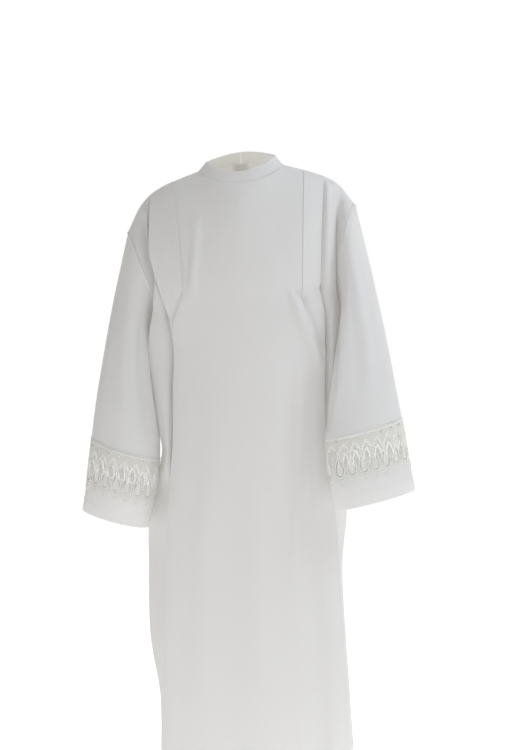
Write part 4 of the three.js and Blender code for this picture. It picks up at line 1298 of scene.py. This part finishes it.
def lace_cords(side_name):
    """All the cords of a band of lace as one mesh, lying on its ground, with those along its top."""
    lines = chart_lines()
    paths = {"bold": bold_cords(lines), "fine": fine_cords(lines), "bars": bars(lines), "net": net_threads()}
    parts = []
    for group, row in CORDS.items():
        cord = named(CORD_COLUMNS, row)
        chart = repeated(paths[group])
        lift = np.full(chart.shape[:2], LACE["lift"] + LACE["thick"] * cord["high"])
        line, facing = on_lace(side_name, chart[..., 0], chart[..., 1], lift)
        parts.append(tube_arrays(line, facing, cord["radius"], cord["sides"]))
    around = np.linspace(0, BAND, LACE["repeats"] * HEADING_CORD["steps"] + 1)
    around[-1] -= HEADING_CORD["gap"]
    lift = np.full((1, len(around)), LACE["lift"] + LACE["thick"])
    for row in HEADING:
        cord = named(HEADING_COLUMNS, row)
        y = cord["down"] + cord["swing"] * np.sin(2 * np.pi * cord["beat"] * around / LACE["wide"])
        line, facing = on_lace(side_name, around[None], y[None], lift)
        parts.append(tube_arrays(line, facing, cord["radius"], HEADING_CORD["sides"]))
    return joined("lace_" + side_name + "_cords", parts)


LACE_SEAM = {"at": 0.7935, "points": 240, "lift": 0.2}  # the stitches that hold it, on the sleeve's end
laces = {}
for name in ("right", "left"):
    cords = dress(lace_cords(name), cord_finish, "lace")
    ground = dress(lace_cloth(name), lace_ground_finish, "lace", "lace_" + name)
    laces[name] = (ground, cords)
    all_round = np.linspace(0, 2 * np.pi, LACE_SEAM["points"])
    sew_round("sleeve_" + name, name, LACE_SEAM["at"], all_round, LACE_SEAM["lift"])

# ---- Neckband ----
NECKBAND = {
    "columns": 181, "rows": 12, "closes": 0.9985, "roll": 0.7, "ripple": 0.25, "ripples": 17, "thick": 1.5,
    "round": 0.5, "round_past": 50, "sewn_rows": (1, 10),
}
# Soft wrinkles that cross it: the angle at the foot, how far they slant, how broad, how far out or in.
WRINKLE_COLUMNS = ["at", "slant", "broad", "out"]
WRINKLES = [[0.12, 0.22, 0.045, 1.1], [0.42, -0.2, 0.05, 0.9], [-0.75, 0.25, 0.07, -0.8]]
WRINKLES_END = 1.1  # they fade towards both edges, sooner at the top


def wrinkled(angle, up):
    """How far the wrinkles move the neckband outwards: a bell across each, and a faint ripple."""
    out = 0
    for row in WRINKLES:
        wrinkle = named(WRINKLE_COLUMNS, row)
        off = (angle - wrinkle["at"] - wrinkle["slant"] * up) / wrinkle["broad"]
        out = out + wrinkle["out"] * np.exp(-(off**2))
    out = out * np.sin(np.pi * np.clip(up * WRINKLES_END, 0, 1))
    return out + NECKBAND["ripple"] * np.sin(NECKBAND["ripples"] * angle) * up


def neckband():
    """The neckband stands on the neckline and leans in, more steeply at its foot, with a few soft
    wrinkles. It is two layers thick with rounded edges."""
    angle = np.linspace(-1, 1, NECKBAND["columns"]) * np.pi * NECKBAND["closes"]
    up = np.linspace(0, 1, NECKBAND["rows"])[:, None]
    base = neckline(angle)[None]
    inward = point(NECK["middle"] - base[..., 0], COLLAR["towards_y"] - base[..., 1], 0)
    lean = COLLAR["lean"] * up * (1 + COLLAR["bow"] * (1 - up))
    roll = NECKBAND["roll"] * np.sin(np.pi * up)
    grid = base + unit(inward) * (COLLAR["inset"] + lean - wrinkled(angle, up) - roll)[..., None]
    rise = COLLAR["rise"] - COLLAR["side_drop"] * np.sin(angle) ** 2
    grid = grid + point(0, 0, COLLAR["lift"] + rise * up)
    piece = cloth_piece("neckband_cloth", grid[::-1], thickness=NECKBAND["thick"])
    soften = piece.modifiers.new("rounded_edges", "BEVEL")
    soften.width = NECKBAND["round"] * MM
    soften.segments = 2
    soften.limit_method = "ANGLE"
    soften.angle_limit = math.radians(NECKBAND["round_past"])
    return piece, grid


neck_piece, neck_grid = neckband()
dress(neck_piece, cloth_finish, "cloth", "collar")
cloths["collar"] = neck_piece
away = unit(point(neck_grid[..., 0] - NECK["middle"], neck_grid[..., 1] - COLLAR["towards_y"], 0))
for row in NECKBAND["sewn_rows"]:
    sew("collar", neck_grid[row], away[row])


# ---- Fly ----
# Its section: how far each point lies from the middle, as a share of its width, and how high.
FLY_SECTION = table(["aside", "high"], [
    [-0.5, 0.75], [-0.485, 1.5], [-0.4, 1.7], [-0.2, 1.7], [0, 1.7],
    [0.2, 1.7], [0.4, 1.7], [0.485, 1.5], [0.5, 0.75],
])
FLY_THICK = 0.6  # its two layers, pressed flat
FLY_SEWN = (2, 6)  # columns of its section along which it is stitched


def fly():
    """A flat placket down the middle of the back: points of the back within half its width of the
    middle, moved out, its edges turned down onto the back."""
    back = panels["back"][0]
    middle = back.shape[1] // 2
    rows = np.count_nonzero(-back[:, middle, 2] < FLY["length"])
    offsets = FLY["width"] * FLY_SECTION["aside"]
    x = back[1:rows, :, 0]
    mid = back[1:rows, middle, 0]
    grid = np.stack([
        np.stack([np.interp(mid[i] + offsets, x[i], back[i + 1, :, k]) for k in range(3)], -1)
        for i in range(rows - 1)
    ])
    facing = grid_facing(grid)
    facing *= np.sign(facing[..., 1:2].mean())
    return grid + facing * FLY_SECTION["high"][None, :, None], facing


fly_grid, fly_facing = fly()
fly_piece = cloth_piece("fly_cloth", fly_grid, turned=True, thickness=FLY_THICK)
cloths["fly"] = dress(fly_piece, cloth_finish, "cloth", "fly")
for column in FLY_SEWN:
    sew("fly", fly_grid[:, column], fly_facing[:, column])

# ---- Seams of the front and back ----
# Stitches along a seam run this many columns in from a panel's edge; those along a tuck start at this
# row; and how high they all lie.
SEWN = {"column": 2, "from_row": 0.03, "seam_lift": 0.2, "tuck_lift": 0.1, "hem_lift": 0.1}
for face in ("front", "back"):
    grid, _ = panels[face]
    facing = grid_facing(grid)
    facing *= np.sign(facing[..., 1].mean()) * (-1 if face == "front" else 1)
    count = len(half_columns()[0])
    armhole_rows = PANEL_ROWS <= 1
    for column in (SEWN["column"], grid.shape[1] - 1 - SEWN["column"]):
        sew(face, grid[armhole_rows, column], facing[armhole_rows, column], SEWN["seam_lift"])
    tuck_column = np.nonzero(half_columns()[1] == len(TUCK_SECTION["aside"]) - 1)[0][0]
    tuck_rows = (PANEL_ROWS * UNDERARM < TUCK["end"]) & (PANEL_ROWS > SEWN["from_row"])
    for column in (count - 1 - tuck_column, count - 1 + tuck_column):
        sew(face, grid[tuck_rows, column], facing[tuck_rows, column], SEWN["tuck_lift"])
    hem_row = np.argmin(np.abs(PANEL_ROWS - (2 - HEM_FOLD / (LENGTH - UNDERARM))))
    sew(face, grid[hem_row], facing[hem_row], SEWN["hem_lift"])
    cloths[face] = panels[face][1]

for name, rows in sewn.items():
    parts = [tube_arrays(line, out, STITCH["radius"], STITCH["sides"]) for line, out in rows]
    dress(joined(name + "_stitches", parts), thread_finish, "cloth")

# ---- The cut of each piece of cloth, flat, in metres: what shows of it, all round on a tube ----
for name, (ground, cords) in laces.items():
    "sleeve_" + name + "_cloth"
